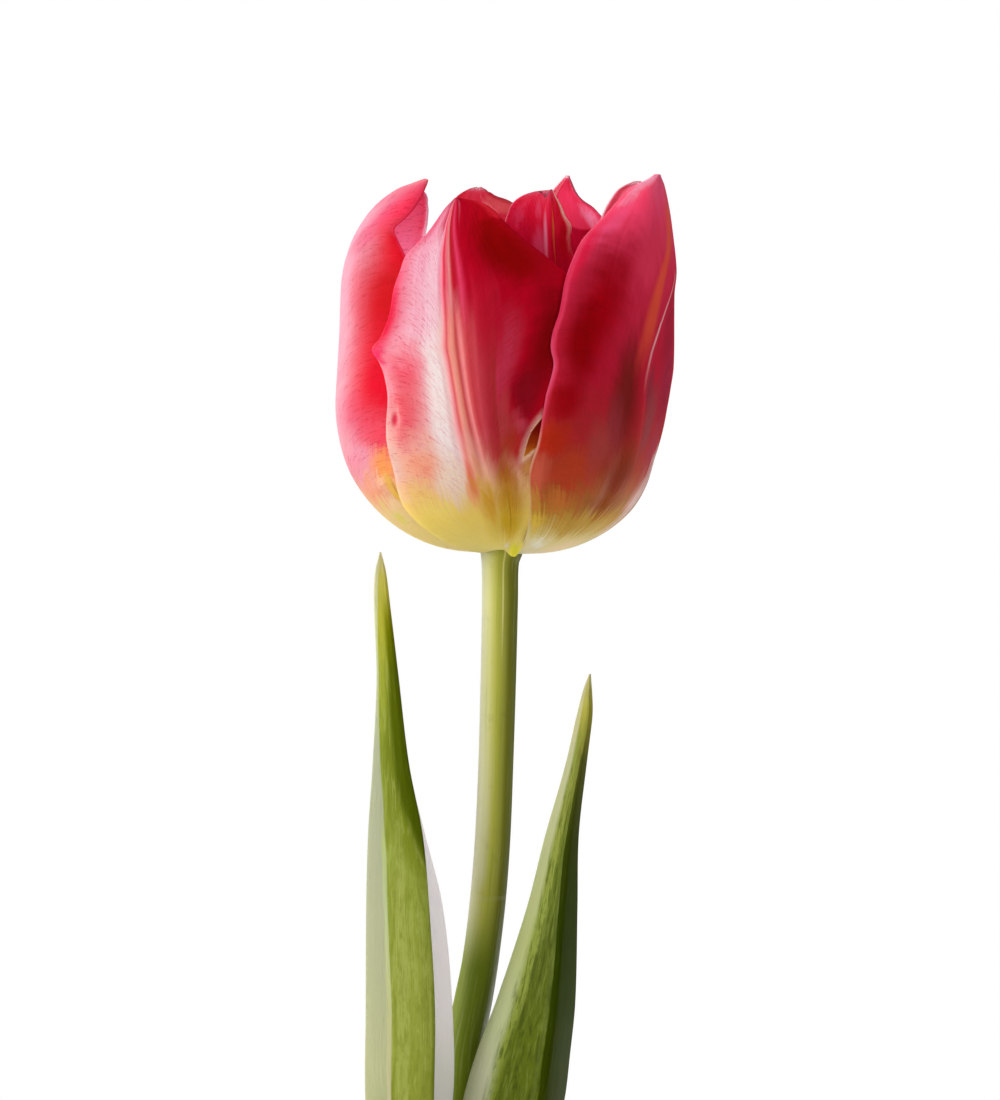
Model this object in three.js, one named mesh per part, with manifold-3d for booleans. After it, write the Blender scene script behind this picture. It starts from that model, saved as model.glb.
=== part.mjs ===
// A single red and pink tulip growing from its bulb in a plain clay pot.
// Millimetres, +Z up. The origin is the centre of the pot's foot, and -Y is the plant's front.
// Bloom: seven overlapping petals round six stamens and a pistil, on the swollen top of the stem.
// Plant: a gently bowed stem between two long folded leaves, rooted in a bulb under the soil.

import * as THREE from "three";
import { mergeVertices } from "three/addons/utils/BufferGeometryUtils.js";
import Module from "manifold-3d";

const wasm = await Module();
wasm.setup();

// Driving sizes
const GAP = 0.3; // clearance between pieces that rest on each other
const POT_HEIGHT = 100;
const POT_RADIUS = 56.5; // outside of the rim
const POT_WALL = 4.2;
const POT_FLOOR = 6;
const POT_FOOT_RADIUS = 37.2;
const RIM_HEIGHT = 24;
const DRAIN_RADIUS = 6.5;
const SOIL_TOP = 88;
const BLOOM_BASE = 241.5; // where the petals leave the stem
const BLOOM_X = 7.1; // the bloom stands this far to the right of the pot's axis
const SHOOT_X = -2; // the bulb and the foot of the stem
const BULB_NOSE = 74;
const RECEPTACLE_RADIUS = 4;
const RECEPTACLE_TOP = 1.9; // above the bloom's base
const PETAL_THICKNESS = 0.8;
const LEAF_THICKNESS = 1.3;

// The cup that the petals follow: a quarter ellipse from the receptacle, then an upright wall.
const CUP = {
  seat: RECEPTACLE_RADIUS + GAP, // inner radius at the foot
  radius: 31,
  heel: 28.5, // height of the curved bottom
  bend: 45, // length of wall in the curved bottom
};

const radians = THREE.MathUtils.degToRad;

// The value at one place on a smooth curve through rows of [place, value, ...].
function through(rows, place, column = 1) {
  const last = rows.length - 1;
  let i = 0;
  while (i < last - 1 && place > rows[i + 1][0]) i++;
  const slope = (k) => {
    const a = rows[Math.max(k - 1, 0)];
    const b = rows[Math.min(k + 1, last)];
    return (b[column] - a[column]) / (b[0] - a[0]);
  };
  const [from, to] = [rows[i], rows[i + 1]];
  const span = to[0] - from[0];
  const t = THREE.MathUtils.clamp((place - from[0]) / span, 0, 1);
  const rise = to[column] - from[column];
  const a = slope(i) * span - rise;
  const b = rise - slope(i + 1) * span;
  return from[column] + t * rise + t * (1 - t) * (a * (1 - t) + b * t);
}

// A closed thin shell around the surface point(u, v), for u from -1 to 1 and v from 0 to 1.
// Both faces are split along the same diagonals.
function blade(point, across, along, thicknessAt) {
  const places = [];
  const step = 1e-3;
  for (const side of [0.5, -0.5]) {
    for (let j = 0; j <= along; j++) {
      for (let i = 0; i <= across; i++) {
        const u = -1 + (2 * i) / across;
        const v = j / along;
        const uTo = Math.min(u + step, 1);
        const vTo = Math.min(v + step, 1);
        const alongU = point(uTo, v).sub(point(uTo - step, v));
        const alongV = point(u, vTo).sub(point(u, vTo - step));
        const normal = alongU.cross(alongV).normalize();
        places.push(point(u, v).addScaledVector(normal, side * thicknessAt(u, v)));
      }
    }
  }
  const index = [];
  const layer = (across + 1) * (along + 1);
  const at = (i, j, inner = 0) => inner * layer + j * (across + 1) + i;
  const quad = (a, b, c, d) => index.push(a, b, c, a, c, d);
  for (let j = 0; j < along; j++) {
    for (let i = 0; i < across; i++) {
      quad(at(i, j), at(i + 1, j), at(i + 1, j + 1), at(i, j + 1));
      index.push(at(i, j, 1), at(i + 1, j + 1, 1), at(i + 1, j, 1));
      index.push(at(i, j, 1), at(i, j + 1, 1), at(i + 1, j + 1, 1));
    }
    quad(at(0, j), at(0, j + 1), at(0, j + 1, 1), at(0, j, 1));
    quad(at(across, j + 1), at(across, j), at(across, j, 1), at(across, j + 1, 1));
  }
  for (let i = 0; i < across; i++) {
    quad(at(i + 1, 0), at(i, 0), at(i, 0, 1), at(i + 1, 0, 1));
    quad(at(i, along), at(i + 1, along), at(i + 1, along, 1), at(i, along, 1));
  }
  return new THREE.BufferGeometry().setFromPoints(places).setIndex(index);
}

// A body turned round the Z axis from a profile of [radius, height] points.
function turned(profile, segments) {
  const points = profile.map(([radius, height]) => new THREE.Vector2(radius, height));
  return new THREE.LatheGeometry(points, segments).rotateX(Math.PI / 2);
}

function solidOf(geometry) {
  const bare = new THREE.BufferGeometry()
    .setAttribute("position", geometry.getAttribute("position"))
    .setIndex(geometry.getIndex());
  const merged = mergeVertices(bare, 1e-4);
  return new wasm.Manifold(
    new wasm.Mesh({
      numProp: 3,
      vertProperties: new Float32Array(merged.attributes.position.array),
      triVerts: new Uint32Array(merged.index.array),
    }),
  );
}

function geometryOf(solid) {
  const mesh = solid.getMesh();
  return new THREE.BufferGeometry()
    .setAttribute("position", new THREE.BufferAttribute(mesh.vertProperties, 3))
    .setIndex(new THREE.BufferAttribute(mesh.triVerts, 1));
}

function piece(name, geometry, material) {
  const mesh = new THREE.Mesh(geometry, material);
  mesh.name = name;
  return mesh;
}

const surface = (color, roughness) =>
  new THREE.MeshStandardMaterial({ color, roughness, metalness: 0 });
const petalRed = surface(0xc01238, 0.5);
const petalPink = surface(0xe8899c, 0.5);
const leafGreen = surface(0x6f8f3a, 0.55);
const stemGreen = surface(0x93a35c, 0.5);
const potClay = surface(0xb5623c, 0.9);
const soilBrown = surface(0x3b2a20, 1);
const bulbBrown = surface(0x8a5a33, 0.7);
const stamenPurple = surface(0x35203a, 0.7);
const pistilGreen = surface(0xb9c27a, 0.6);

// Pot: a turned clay pot with a thick rim band and one drain hole.
const potInside = (height) => {
  const floorRadius = POT_FOOT_RADIUS - POT_WALL;
  const mouthRadius = POT_RADIUS - POT_WALL - 1;
  const share = (height - POT_FLOOR) / (POT_HEIGHT - POT_FLOOR);
  return floorRadius + (mouthRadius - floorRadius) * share;
};

function makePot() {
  const bandFoot = POT_HEIGHT - RIM_HEIGHT;
  const profile = [
    [DRAIN_RADIUS, 0],
    [POT_FOOT_RADIUS - 1.5, 0],
    [POT_FOOT_RADIUS, 1.5],
    [potInside(bandFoot) + POT_WALL, bandFoot],
    [POT_RADIUS - 2, bandFoot + 0.6],
    [POT_RADIUS - 1.4, bandFoot + 2],
    [POT_RADIUS, POT_HEIGHT - 2],
    [POT_RADIUS - 1.2, POT_HEIGHT],
    [potInside(POT_HEIGHT) + 1, POT_HEIGHT],
    [potInside(POT_HEIGHT) - 0.1, POT_HEIGHT - 1.2],
    [potInside(POT_FLOOR + 2), POT_FLOOR + 2],
    [potInside(POT_FLOOR) - 2, POT_FLOOR],
    [DRAIN_RADIUS, POT_FLOOR],
    [DRAIN_RADIUS, 0],
  ];
  return turned(profile, 48);
}

// Bulb: a teardrop with a flat root plate and a blunt nose that the stem stands on.
const bulbProfile = [
  [7, 37],
  [11, 38.5],
  [15, 43.5],
  [16.5, 50],
  [15, 58],
  [11, 65],
  [7, 70],
  [5, BULB_NOSE],
];

function makeBulb() {
  return turned([[0, 37], ...bulbProfile, [0, BULB_NOSE]], 24);
}

// Soil: fills the pot, with a cavity that fits the bulb and a plain hole for the stem.
function makeSoil() {
  const bottom = POT_FLOOR + GAP;
  const rimLevel = SOIL_TOP - 1.8;
  const fill = turned(
    [
      [0, bottom],
      [potInside(bottom) - 2.4, bottom],
      [potInside(POT_FLOOR + 2.6) - GAP, POT_FLOOR + 2.6],
      [potInside(rimLevel) - GAP, rimLevel],
      [32, SOIL_TOP - 0.8],
      [18, SOIL_TOP],
      [0, SOIL_TOP],
    ],
    48,
  );
  const room = turned(
    [
      [0, 37 - GAP],
      [7.4, 37 - GAP],
      ...bulbProfile.slice(1).map(([radius, height]) => [radius + 0.4, height]),
      [4.7, BULB_NOSE + 1],
      [4.7, SOIL_TOP + 5],
      [0, SOIL_TOP + 5],
    ],
    24,
  ).translate(SHOOT_X, 0, 0);
  return geometryOf(solidOf(fill).subtract(solidOf(room)));
}

// Stem: rows of [height, x, y, radius] up its bowed centre line.
const stemRows = [
  [BULB_NOSE + GAP, SHOOT_X, 0, 4.1],
  [95, SHOOT_X, 0, 4.1],
  [118, -1.7, 0.4, 4],
  [143, -0.4, 1.4, 3.85],
  [154, 1.5, 1.8, 3.7],
  [161.5, 2.9, 2, 3.5],
  [173, 4.3, 2.1, 3.45],
  [185, 5.1, 2.1, 3.4],
  [200, 5.85, 1.7, 3.35],
  [215, 6.45, 1.1, 3.4],
  [231, 6.8, 0.3, 3.45],
  [BLOOM_BASE - 3.6, 6.85, 0, 3.55],
  [BLOOM_BASE - 1.6, BLOOM_X, 0, RECEPTACLE_RADIUS],
];

function makeStem() {
  const foot = stemRows[0][0];
  const neck = stemRows.at(-1)[0];
  const steps = 22;
  const profile = [[0, foot]];
  for (let i = 0; i <= steps; i++) {
    const height = foot + ((neck - foot) * i) / steps;
    profile.push([through(stemRows, height, 3), height]);
  }
  const crown = BLOOM_BASE + RECEPTACLE_TOP;
  profile.push([RECEPTACLE_RADIUS, crown], [0, crown]);
  const geometry = turned(profile, 16);
  const places = geometry.getAttribute("position");
  for (let i = 0; i < places.count; i++) {
    const height = Math.min(places.getZ(i), neck);
    places.setX(i, places.getX(i) + through(stemRows, height, 1));
    places.setY(i, places.getY(i) + through(stemRows, height, 2));
  }
  return geometry;
}

// Leaves: each row is [height, left edge x, y, keel x, y, right edge x, y], seen from outside.
const leafRows = {
  leaf_left: [
    [88.4, -4.5, 4.6, -8.4, -0.5, -4.2, -5.3],
    [100, -6.6, 2.6, -12, -3.5, -5.2, -8.5],
    [117, -6.2, -2, -16.6, -8, -5.6, -14.5],
    [134, -2.1, -5.2, -18.6, -10, -6.2, -18],
    [153, -2.7, -3.4, -18.6, -8.5, -6, -16],
    [172, -4.6, -2, -18.4, -7, -6.8, -14],
    [186, -7.4, -2, -18.1, -6.5, -7.9, -12],
    [200, -11.2, -2.6, -17.3, -6, -11, -9.6],
    [216, -13.5, -3.6, -16.7, -5.6, -13, -7.6],
    [230, -15.2, -4.5, -16.8, -5.3, -15, -6.3],
    [240.2, -16.1, -4.9, -16.4, -5.1, -16, -5.3],
  ],
  leaf_right: [
    [88.4, -2.2, -5.7, 3.8, -4.8, 2.7, 4.1],
    [100, -2.4, -7, 6.2, -8.4, 9, 2.6],
    [117, -3, -8.4, 10.4, -12, 14.4, 0],
    [134, -0.8, -8.6, 14.4, -13, 18.4, -1.6],
    [144, 2.1, -7.8, 15.9, -12.7, 19.7, -1.2],
    [154, 6, -7, 17.2, -12, 20.7, -1],
    [172, 12, -6, 18.7, -11, 21.1, -2],
    [186, 15.5, -5.6, 20.1, -9.5, 21.4, -3],
    [200, 19.6, -5.4, 22.1, -7.8, 22.9, -4],
    [209, 21.8, -5.2, 23.2, -6.3, 23.8, -4.6],
    [216.4, 23.7, -4.9, 23.9, -5.1, 24.2, -4.8],
  ],
};

function leafPoint(rows, u, v) {
  const tipHeight = rows.at(-1)[0];
  const height = rows[0][0] + (tipHeight - rows[0][0]) * v;
  const keel = [through(rows, height, 3), through(rows, height, 4)];
  const [left, right] = [1, 5].map((c) => [through(rows, height, c), through(rows, height, c + 1)]);
  const [x, y] = keel.map(
    (k, axis) =>
      k + (u * (right[axis] - left[axis])) / 2 + u * u * ((left[axis] + right[axis]) / 2 - k),
  );
  return new THREE.Vector3(x, y, height);
}

function makeLeaf(rows) {
  const thickness = (u, v) => (LEAF_THICKNESS - 0.6 * u * u) * (1 - 0.3 * v);
  return blade((u, v) => leafPoint(rows, u, v), 8, 22, thickness);
}

// Petals: the rib and the two edges, as rows of [way up the wall, azimuth, lift off the cup].
// Azimuth 0 is the front and grows towards the right edge, as seen from outside the bloom.
const petalRows = {
  petal_left: {
    rib: [
      [0, -97, 1], [15, -97, 1.4], [30, -97, 1.5], [38, -97, 1.1], [45, -97, 0.8],
      [57, -97, 0.1], [67, -97, -0.3],
      [72, -96, -1.2], [77, -95, -3.2], [81.6, -93, -6.5], [84.7, -89, -10.5], [86.2, -82, -13.8],
      [86.8, -71, -15.2],
    ],
    left: [
      [0, -140, 1.3], [20, -146, 1.3], [45, -150, 1.3], [60, -150, 1], [70, -149, -0.6],
      [77.9, -146.5, -3.8], [80.7, -144.5, -6], [83.4, -139, -9], [85.5, -127, -12.3],
      [86.3, -105, -14], [86.8, -73, -15.2],
    ],
    right: [
      [0, -42, -0.3], [20, -40, -0.3], [45, -34, -0.3], [60, -33, -0.3], [67.5, -35.5, -0.7],
      [71, -39.5, -1.5], [74.5, -45.3, -3], [76.5, -48, -4], [78.7, -49, -6.5],
      [81.1, -49.2, -8.5], [84.1, -51, -11], [86.3, -59.4, -14], [86.8, -69, -15.2],
    ],
  },
  petal_front: {
    rib: [
      [0, 0, 0.6], [20, -3, 0.7], [30, -6, 0.7], [45, -11.5, 0.8], [60, -15, 0.8],
      [70, -17, 0], [76, -18.5, -1.8], [81.7, -19, -5],
    ],
    left: [
      [0, -46, 1.3], [10, -50, 1.3], [20, -54, 1.4], [25.3, -50.3, 1.4], [29.7, -46.7, 1.4],
      [36.6, -45.3, 1.4], [43.8, -42.5, 1.4], [48.3, -43.9, 1.5], [51, -45.8, 1.9],
      [53.3, -48.6, 2.3], [55.8, -45.3, 1.7], [59.7, -41.9, 1.4], [64.4, -40.3, 1.1],
      [68.2, -38.1, 0.5], [71, -36.4, -0.2], [74.7, -30, -2.2], [79.4, -23.9, -4.2],
      [81.7, -20, -5],
    ],
    right: [
      [0, 28, -0.2], [12, 24, -0.2], [23, 19, -0.2], [29, 10, -0.2], [33, 7.8, 0],
      [36.4, 9.2, 0], [41.3, 14.7, -0.2], [46, 19, -0.2], [52, 26, -0.3], [58, 29, -0.3],
      [65, 27, -0.4], [69.4, 18.3, -0.5], [72.5, 10.8, -0.9], [76.1, 2.8, -2], [79, -2.5, -3],
      [80.8, -8.6, -4], [81.5, -15.8, -4.8], [81.7, -18, -5],
    ],
  },
  petal_right: {
    rib: [
      [0, 50, 1.4], [12, 52, 1.6], [23, 54, 1.5], [33, 55, 0.9], [42, 54, 0.9], [51, 55, 1.5],
      [60, 60, 1.9], [70, 67, 2.3], [78, 71, 1.8], [86.8, 70, 1.1],
    ],
    left: [
      [0, 20, 1.3], [8.7, 18.9, 1.3], [16.7, 15.3, 1.3], [22.2, 13.1, 1.3], [28.6, 10.6, 1.3],
      [31.6, 11.1, 1.4], [35.3, 12.8, 1.5], [44.1, 15, 1.5], [47.3, 16.7, 1.5],
      [50.3, 17.8, 1.6], [53.4, 16.7, 1.7], [56.4, 17.5, 1.7], [60, 19.7, 1.8],
      [65.9, 21.7, 1.9], [70.1, 24.2, 2], [73.9, 27.5, 2], [76.6, 31.7, 2], [78.9, 36.4, 2],
      [82.5, 44.2, 2], [84.6, 51.1, 1.9], [86.1, 60.3, 1.5], [86.8, 68.5, 1.1],
    ],
    right: [
      [0, 86, 1.3], [12, 89, 1.6], [22, 92, 1.5], [28, 94, 0.9], [34, 95, 0.2], [42, 96, 0.2],
      [47, 97, 0.7], [51, 98, 1.3], [60, 100, 1.8], [70, 100, 2.1], [78, 97, 1.2],
      [83, 89, 0.2], [86, 80, 0.1], [86.8, 71.5, 1.1],
    ],
  },
  petal_right_rear: {
    rib: [
      [0, 112, 0.1], [22, 112, 0], [30, 111, -0.9], [45, 110, -0.9], [55, 110, 0.1],
      [70, 113, 0.1], [80, 116, -0.9], [87.7, 117, -2],
    ],
    left: [
      [0, 80, 0.1], [22, 76, 0.1], [30, 75, -1], [45, 74, -1], [53, 74, 0.1], [65, 75, 0.1],
      [73, 79, 0], [78, 85, -0.9], [83, 94, -1.4], [86, 102, -1.7], [87.3, 109, -1.9],
      [87.7, 115, -2],
    ],
    right: [
      [0, 138, 0.1], [25, 142, 0.1], [45, 144, 0.1], [62, 144, 0], [70, 142.5, -0.8],
      [76, 140, -2], [80.6, 137, -2.7], [83.5, 133.8, -2.8], [85.8, 130.5, -2.7],
      [87.2, 126, -2.4], [87.7, 119, -2],
    ],
  },
  petal_rear_right: {
    rib: [[0, 150, 1.3], [45, 151, 1.3], [70, 151, 0.9], [80, 151.5, -0.8], [89.8, 151.5, -3]],
    left: [
      [0, 116, 1.3], [25, 112, 1.3], [45, 112, 1.3], [60, 116, 1.3], [70, 124, 1.2],
      [76, 130, 0.9], [80, 136, 0.3], [82, 140, -0.2], [83.4, 142.5, -0.7], [84.7, 146.2, -1.5],
      [86, 148.5, -2], [87.8, 150.2, -2.6], [89.8, 151.2, -3],
    ],
    right: [
      [0, 184, 1.3], [25, 188, 1.3], [45, 189, 1.3], [62, 186, 0.9], [72, 179, 0],
      [79, 170, -1.2], [85, 161, -2.6], [87.1, 157.8, -2.9], [88.6, 154.5, -3], [89.8, 151.8, -3],
    ],
  },
  petal_rear_left: {
    rib: [[0, 193, 0.1], [45, 193, 0.1], [65, 192, -0.8], [75, 191, -2.5], [87.6, 190, -4.8]],
    left: [
      [0, 160, 0.1], [25, 154, 0.1], [45, 152, 0.1], [65, 154, -0.5], [75, 159, -1.8],
      [80, 165, -2.6], [83, 171, -3.3], [84.7, 175.2, -3.6], [85.8, 179.5, -4],
      [86.3, 183.8, -4.3], [87.3, 185.8, -4.6], [87.6, 189, -4.8],
    ],
    right: [
      [0, 226, -0.3], [25, 236, -0.3], [45, 240, -0.3], [60, 234, -1.3], [68, 226, -3],
      [74, 216, -4.2], [77, 210, -4.6], [80, 206.5, -4.9], [83, 203.5, -4.9], [85.2, 201, -4.8],
      [86.4, 197.8, -4.8], [87.3, 194, -4.8], [87.6, 191, -4.8],
    ],
  },
  petal_rear_inner: {
    rib: [
      [0, 158, -1.1], [45, 158, -1.1], [60, 157.5, -2.2], [70, 157, -4], [78, 156.3, -6],
      [86.9, 155.4, -7.5],
    ],
    left: [
      [0, 132, -1.1], [15, 131, -1.5], [30, 130, -1.9], [45, 130, -1.9], [60, 134, -2.2],
      [68, 141, -3.4],
      [74, 147.5, -4.5], [77, 148, -5.2], [79.6, 146.5, -6], [81.4, 148.8, -6.4],
      [83.8, 151, -6.8], [85.5, 153, -7.2], [86.9, 154.9, -7.5],
    ],
    right: [
      [0, 186, -1.1], [45, 192, -1.1], [60, 190, -2.2], [70, 185, -4.2], [79, 179.5, -6.2],
      [82, 177.5, -6.5], [84.4, 174.8, -6.6], [85.9, 169.8, -6.8], [86.7, 162.5, -7.1],
      [86.9, 156, -7.5],
    ],
  },
};

// A place in the bloom's own frame, from its way up the cup's wall, azimuth and lift.
function onCup(way, azimuth, lift) {
  const turn = Math.min(way / CUP.bend, 1) * (Math.PI / 2);
  const spread = CUP.radius - CUP.seat;
  const radius = CUP.seat + spread * Math.sin(turn) + lift * Math.sin(turn);
  const height = CUP.heel * (1 - Math.cos(turn)) - lift * Math.cos(turn);
  const angle = radians(azimuth);
  return new THREE.Vector3(
    radius * Math.sin(angle),
    -radius * Math.cos(angle),
    height + Math.max(way - CUP.bend, 0),
  );
}

function petalPoint({ rib, left, right }, u, v) {
  const edge = u < 0 ? left : right;
  const way = rib.at(-1)[0] * (1 - (1 - v) ** 1.3); // rows crowd towards the tip
  const [ribAzimuth, ribLift] = [1, 2].map((column) => through(rib, way, column));
  const [edgeAzimuth, edgeLift] = [1, 2].map((column) => through(edge, way, column));
  const azimuth = ribAzimuth + Math.abs(u) * (edgeAzimuth - ribAzimuth);
  return onCup(way, azimuth, ribLift + u * u * (edgeLift - ribLift));
}

function makePetal(rows) {
  const thickness = (u) => PETAL_THICKNESS * (1 - 0.2 * u * u);
  return blade((u, v) => petalPoint(rows, u, v), 12, 18, thickness);
}

// Stamen: a pale filament and a long dark anther, leaning outwards.
const STAMEN_CIRCLE = 3.15;
const STAMEN_LEAN = 17;

function makeStamen() {
  return turned(
    [[0, 0], [0.62, 0], [0.5, 8], [0.45, 10], [1.3, 11.5], [1.5, 17], [1.1, 22], [0, 24]],
    8,
  );
}

// Pistil: a three-sided ovary under a stigma of three lobes.
function makePistil() {
  const geometry = turned(
    [
      [0, 0], [1.9, 0], [2.2, 2], [2.9, 7], [2.9, 14], [2.3, 18], [2.2, 19], [3.6, 20.4],
      [3.7, 21.4], [2.4, 22.6], [0, 22],
    ],
    24,
  );
  const places = geometry.getAttribute("position");
  for (let i = 0; i < places.count; i++) {
    const [x, y, height] = [places.getX(i), places.getY(i), places.getZ(i)];
    const lobed = height > 19.5 ? 0.3 : 0.1 * Math.min(height / 7, 1);
    const swell = 1 + lobed * Math.cos(3 * Math.atan2(y, x));
    places.setXY(i, x * swell, y * swell);
  }
  return geometry;
}

// Assembly
const plant = new THREE.Group();
plant.add(piece("pot", makePot(), potClay));
plant.add(piece("soil", makeSoil(), soilBrown));
const bulb = piece("bulb", makeBulb(), bulbBrown);
bulb.position.x = SHOOT_X;
plant.add(bulb);
plant.add(piece("stem", makeStem(), stemGreen));
for (const [name, rows] of Object.entries(leafRows)) {
  plant.add(piece(name, makeLeaf(rows), leafGreen));
}

const bloom = new THREE.Group();
bloom.position.set(BLOOM_X, 0, BLOOM_BASE);
for (const [name, rows] of Object.entries(petalRows)) {
  const material = name === "petal_front" || name === "petal_left" ? petalPink : petalRed;
  bloom.add(piece(name, makePetal(rows), material));
}
const pistil = piece("pistil", makePistil(), pistilGreen);
pistil.position.z = RECEPTACLE_TOP + GAP;
bloom.add(pistil);
for (let k = 0; k < 6; k++) {
  const stamen = piece(`stamen_${k + 1}`, makeStamen(), stamenPurple);
  const angle = radians(30 + 60 * k);
  stamen.position.set(
    STAMEN_CIRCLE * Math.cos(angle),
    STAMEN_CIRCLE * Math.sin(angle),
    RECEPTACLE_TOP + GAP + 0.2,
  );
  stamen.rotation.set(0, radians(STAMEN_LEAN), angle, "ZYX");
  bloom.add(stamen);
}
plant.add(bloom);

export default plant;
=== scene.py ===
import math
import random

import bmesh
import bpy
from mathutils import Matrix, Vector, noise


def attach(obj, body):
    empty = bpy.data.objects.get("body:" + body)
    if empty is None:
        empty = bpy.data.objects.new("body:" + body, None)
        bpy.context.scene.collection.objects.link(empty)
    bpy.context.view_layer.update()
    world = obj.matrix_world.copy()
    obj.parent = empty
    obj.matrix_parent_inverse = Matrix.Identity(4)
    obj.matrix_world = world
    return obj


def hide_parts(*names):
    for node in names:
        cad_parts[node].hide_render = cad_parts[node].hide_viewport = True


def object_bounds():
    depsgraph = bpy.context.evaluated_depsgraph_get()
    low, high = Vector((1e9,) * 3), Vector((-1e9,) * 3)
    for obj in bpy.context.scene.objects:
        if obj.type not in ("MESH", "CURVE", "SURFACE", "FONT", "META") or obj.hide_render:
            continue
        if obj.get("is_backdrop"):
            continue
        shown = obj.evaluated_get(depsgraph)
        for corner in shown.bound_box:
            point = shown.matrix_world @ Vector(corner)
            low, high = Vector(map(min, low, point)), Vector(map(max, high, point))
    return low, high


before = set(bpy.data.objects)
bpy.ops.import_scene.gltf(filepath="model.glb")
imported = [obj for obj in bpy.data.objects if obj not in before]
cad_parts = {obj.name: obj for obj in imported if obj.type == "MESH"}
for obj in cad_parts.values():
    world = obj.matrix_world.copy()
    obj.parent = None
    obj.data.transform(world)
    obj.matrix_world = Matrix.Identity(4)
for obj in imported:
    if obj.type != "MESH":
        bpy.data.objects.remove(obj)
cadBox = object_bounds()
print("frame loaded")

# A tulip in a clay pot. Sizes are in millimetres until a mesh is written, in metres.
# Petal and leaf rows follow the solids' forms closely, but not exactly: some margins differ.
mm = 0.001
bloomFoot = Vector((7.1, 0, 241.5))
shootX = -2


# every new object goes straight into the scene
def placed(name, data):
    made = bpy.data.objects.new(name, data)
    bpy.context.scene.collection.objects.link(made)
    return made


# Camera

cameraPlan = {
    "target": (6.8, 0, 240.6),
    "distance": 900,
    "halfView": 106.15,  # half of the frame's long side at the bloom
    "sensor": 36,
    "nearClip": 0.01,
}


def placeCamera():
    data = bpy.data.cameras.new("camera")
    data.sensor_width = cameraPlan["sensor"]
    data.lens = cameraPlan["sensor"] / 2 * cameraPlan["distance"] / cameraPlan["halfView"]
    data.clip_start = cameraPlan["nearClip"]
    camera = placed("camera", data)
    camera.location = (Vector(cameraPlan["target"]) + Vector((0, -cameraPlan["distance"], 0))) * mm
    camera.rotation_euler = (math.radians(90), 0, 0)
    bpy.context.scene.camera = camera


placeCamera()


# Shader sums: one class wraps a socket, so that masks are written as plain expressions

class Wire:
    def __init__(self, tree, socket=None):
        self.tree, self.socket = tree, socket

    # any node: its settings first, then the values or wires of its inputs
    def make(self, kind, settings=None, inputs=None, output=0):
        made = self.tree.nodes.new(kind)
        for name, value in (settings or {}).items():
            if name == "stops":
                strip = made.color_ramp.elements
                while len(strip) < len(value):
                    strip.new(0.5)
                for stop, (place, colour) in zip(strip, value):
                    stop.position, stop.color = place, tint(colour)
            else:
                setattr(made, name, value)
        feed(made, inputs or {})
        return Wire(self.tree, made.outputs[output])

    def sum(self, operation, *values):
        return self.make("ShaderNodeMath", {"operation": operation}, dict(enumerate(values)))

    def __add__(self, other):
        return self.sum("ADD", self, other)

    def __sub__(self, other):
        return self.sum("SUBTRACT", self, other)

    def __rsub__(self, other):
        return self.sum("SUBTRACT", other, self)

    def __mul__(self, other):
        return self.sum("MULTIPLY", self, other)

    def __truediv__(self, other):
        return self.sum("DIVIDE", self, other)

    def __pow__(self, other):
        return self.sum("POWER", self, other)

    def __abs__(self):
        return self.sum("ABSOLUTE", self)

    __radd__, __rmul__ = __add__, __mul__

    # 0 below low and 1 above high, with a soft step between; low may be the higher one
    def step(self, low, high):
        inputs = {0: self, 1: low, 2: high}
        return self.make("ShaderNodeMapRange", {"interpolation_type": "SMOOTHSTEP"}, inputs)

    def ramp(self, stops):
        return self.make("ShaderNodeValToRGB", {"stops": stops}, {0: self})


# a node's inputs: wires are linked, plain values are set
def feed(node, inputs):
    for key, value in inputs.items():
        if isinstance(value, Wire):
            value.tree.links.new(value.socket, node.inputs[key])
        else:
            node.inputs[key].default_value = value


def tint(colour):
    if not isinstance(colour, str):
        return (colour, colour, colour, 1)
    parts = [int(colour[i:i + 2], 16) / 255 for i in (0, 2, 4)]
    return (*[c / 12.92 if c <= 0.04045 else ((c + 0.055) / 1.055) ** 2.4 for c in parts], 1)


# one colour over another: as text, as a grey from 0 to 1 or as a wire
def over(under, top, share, how="MIX"):
    wire = share if isinstance(share, Wire) else under
    ends = [value if isinstance(value, Wire) else tint(value) for value in (under, top)]
    inputs = {0: share, 6: ends[0], 7: ends[1]}
    return wire.make("ShaderNodeMix", {"data_type": "RGBA", "blend_type": how}, inputs, 2)


# colours laid over the first one in turn, each by its own mask
def layered(colour, *layers):
    for dye_and_light, mask in layers:
        colour = over(colour, dye_and_light, mask)
    return colour


def vectorOf(x, y, z=0.0):
    return x.make("ShaderNodeCombineXYZ", None, {0: x, 1: y, 2: z})


def noiseOf(place, scale=1.0, detail=3.0, rough=0.55, twist=0.0):
    inputs = {"Vector": place, "Scale": scale, "Detail": detail, "Roughness": rough, "Distortion": twist}
    return place.make("ShaderNodeTexNoise", None, inputs)


def lengthOf(vector):
    return vector.make("ShaderNodeVectorMath", {"operation": "LENGTH"}, {0: vector}, "Value")


def partsOf(vector, count):
    return [vector.make("ShaderNodeSeparateXYZ", None, {0: vector}, k) for k in range(count)]


# a place in the piece's own frame
def spotOf(wire):
    return wire.make("ShaderNodeTexCoord", None, None, "Object")


# width and length of a blade, each from 0 to 1
def bladeOf(wire):
    return partsOf(wire.make("ShaderNodeUVMap", {"uv_map": "blade"}), 2)


# a line across a blade at every height: one place, or rows of (height, place from -1 to 1)
def pathOf(along, path):
    if not isinstance(path, list):
        return path
    return along.ramp([(rise, place / 2 + 0.5) for rise, place in path]) * 2 - 1


def startFinish(name):
    material = bpy.data.materials.new(name)
    material.use_nodes = True
    return material, Wire(material.node_tree)


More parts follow.
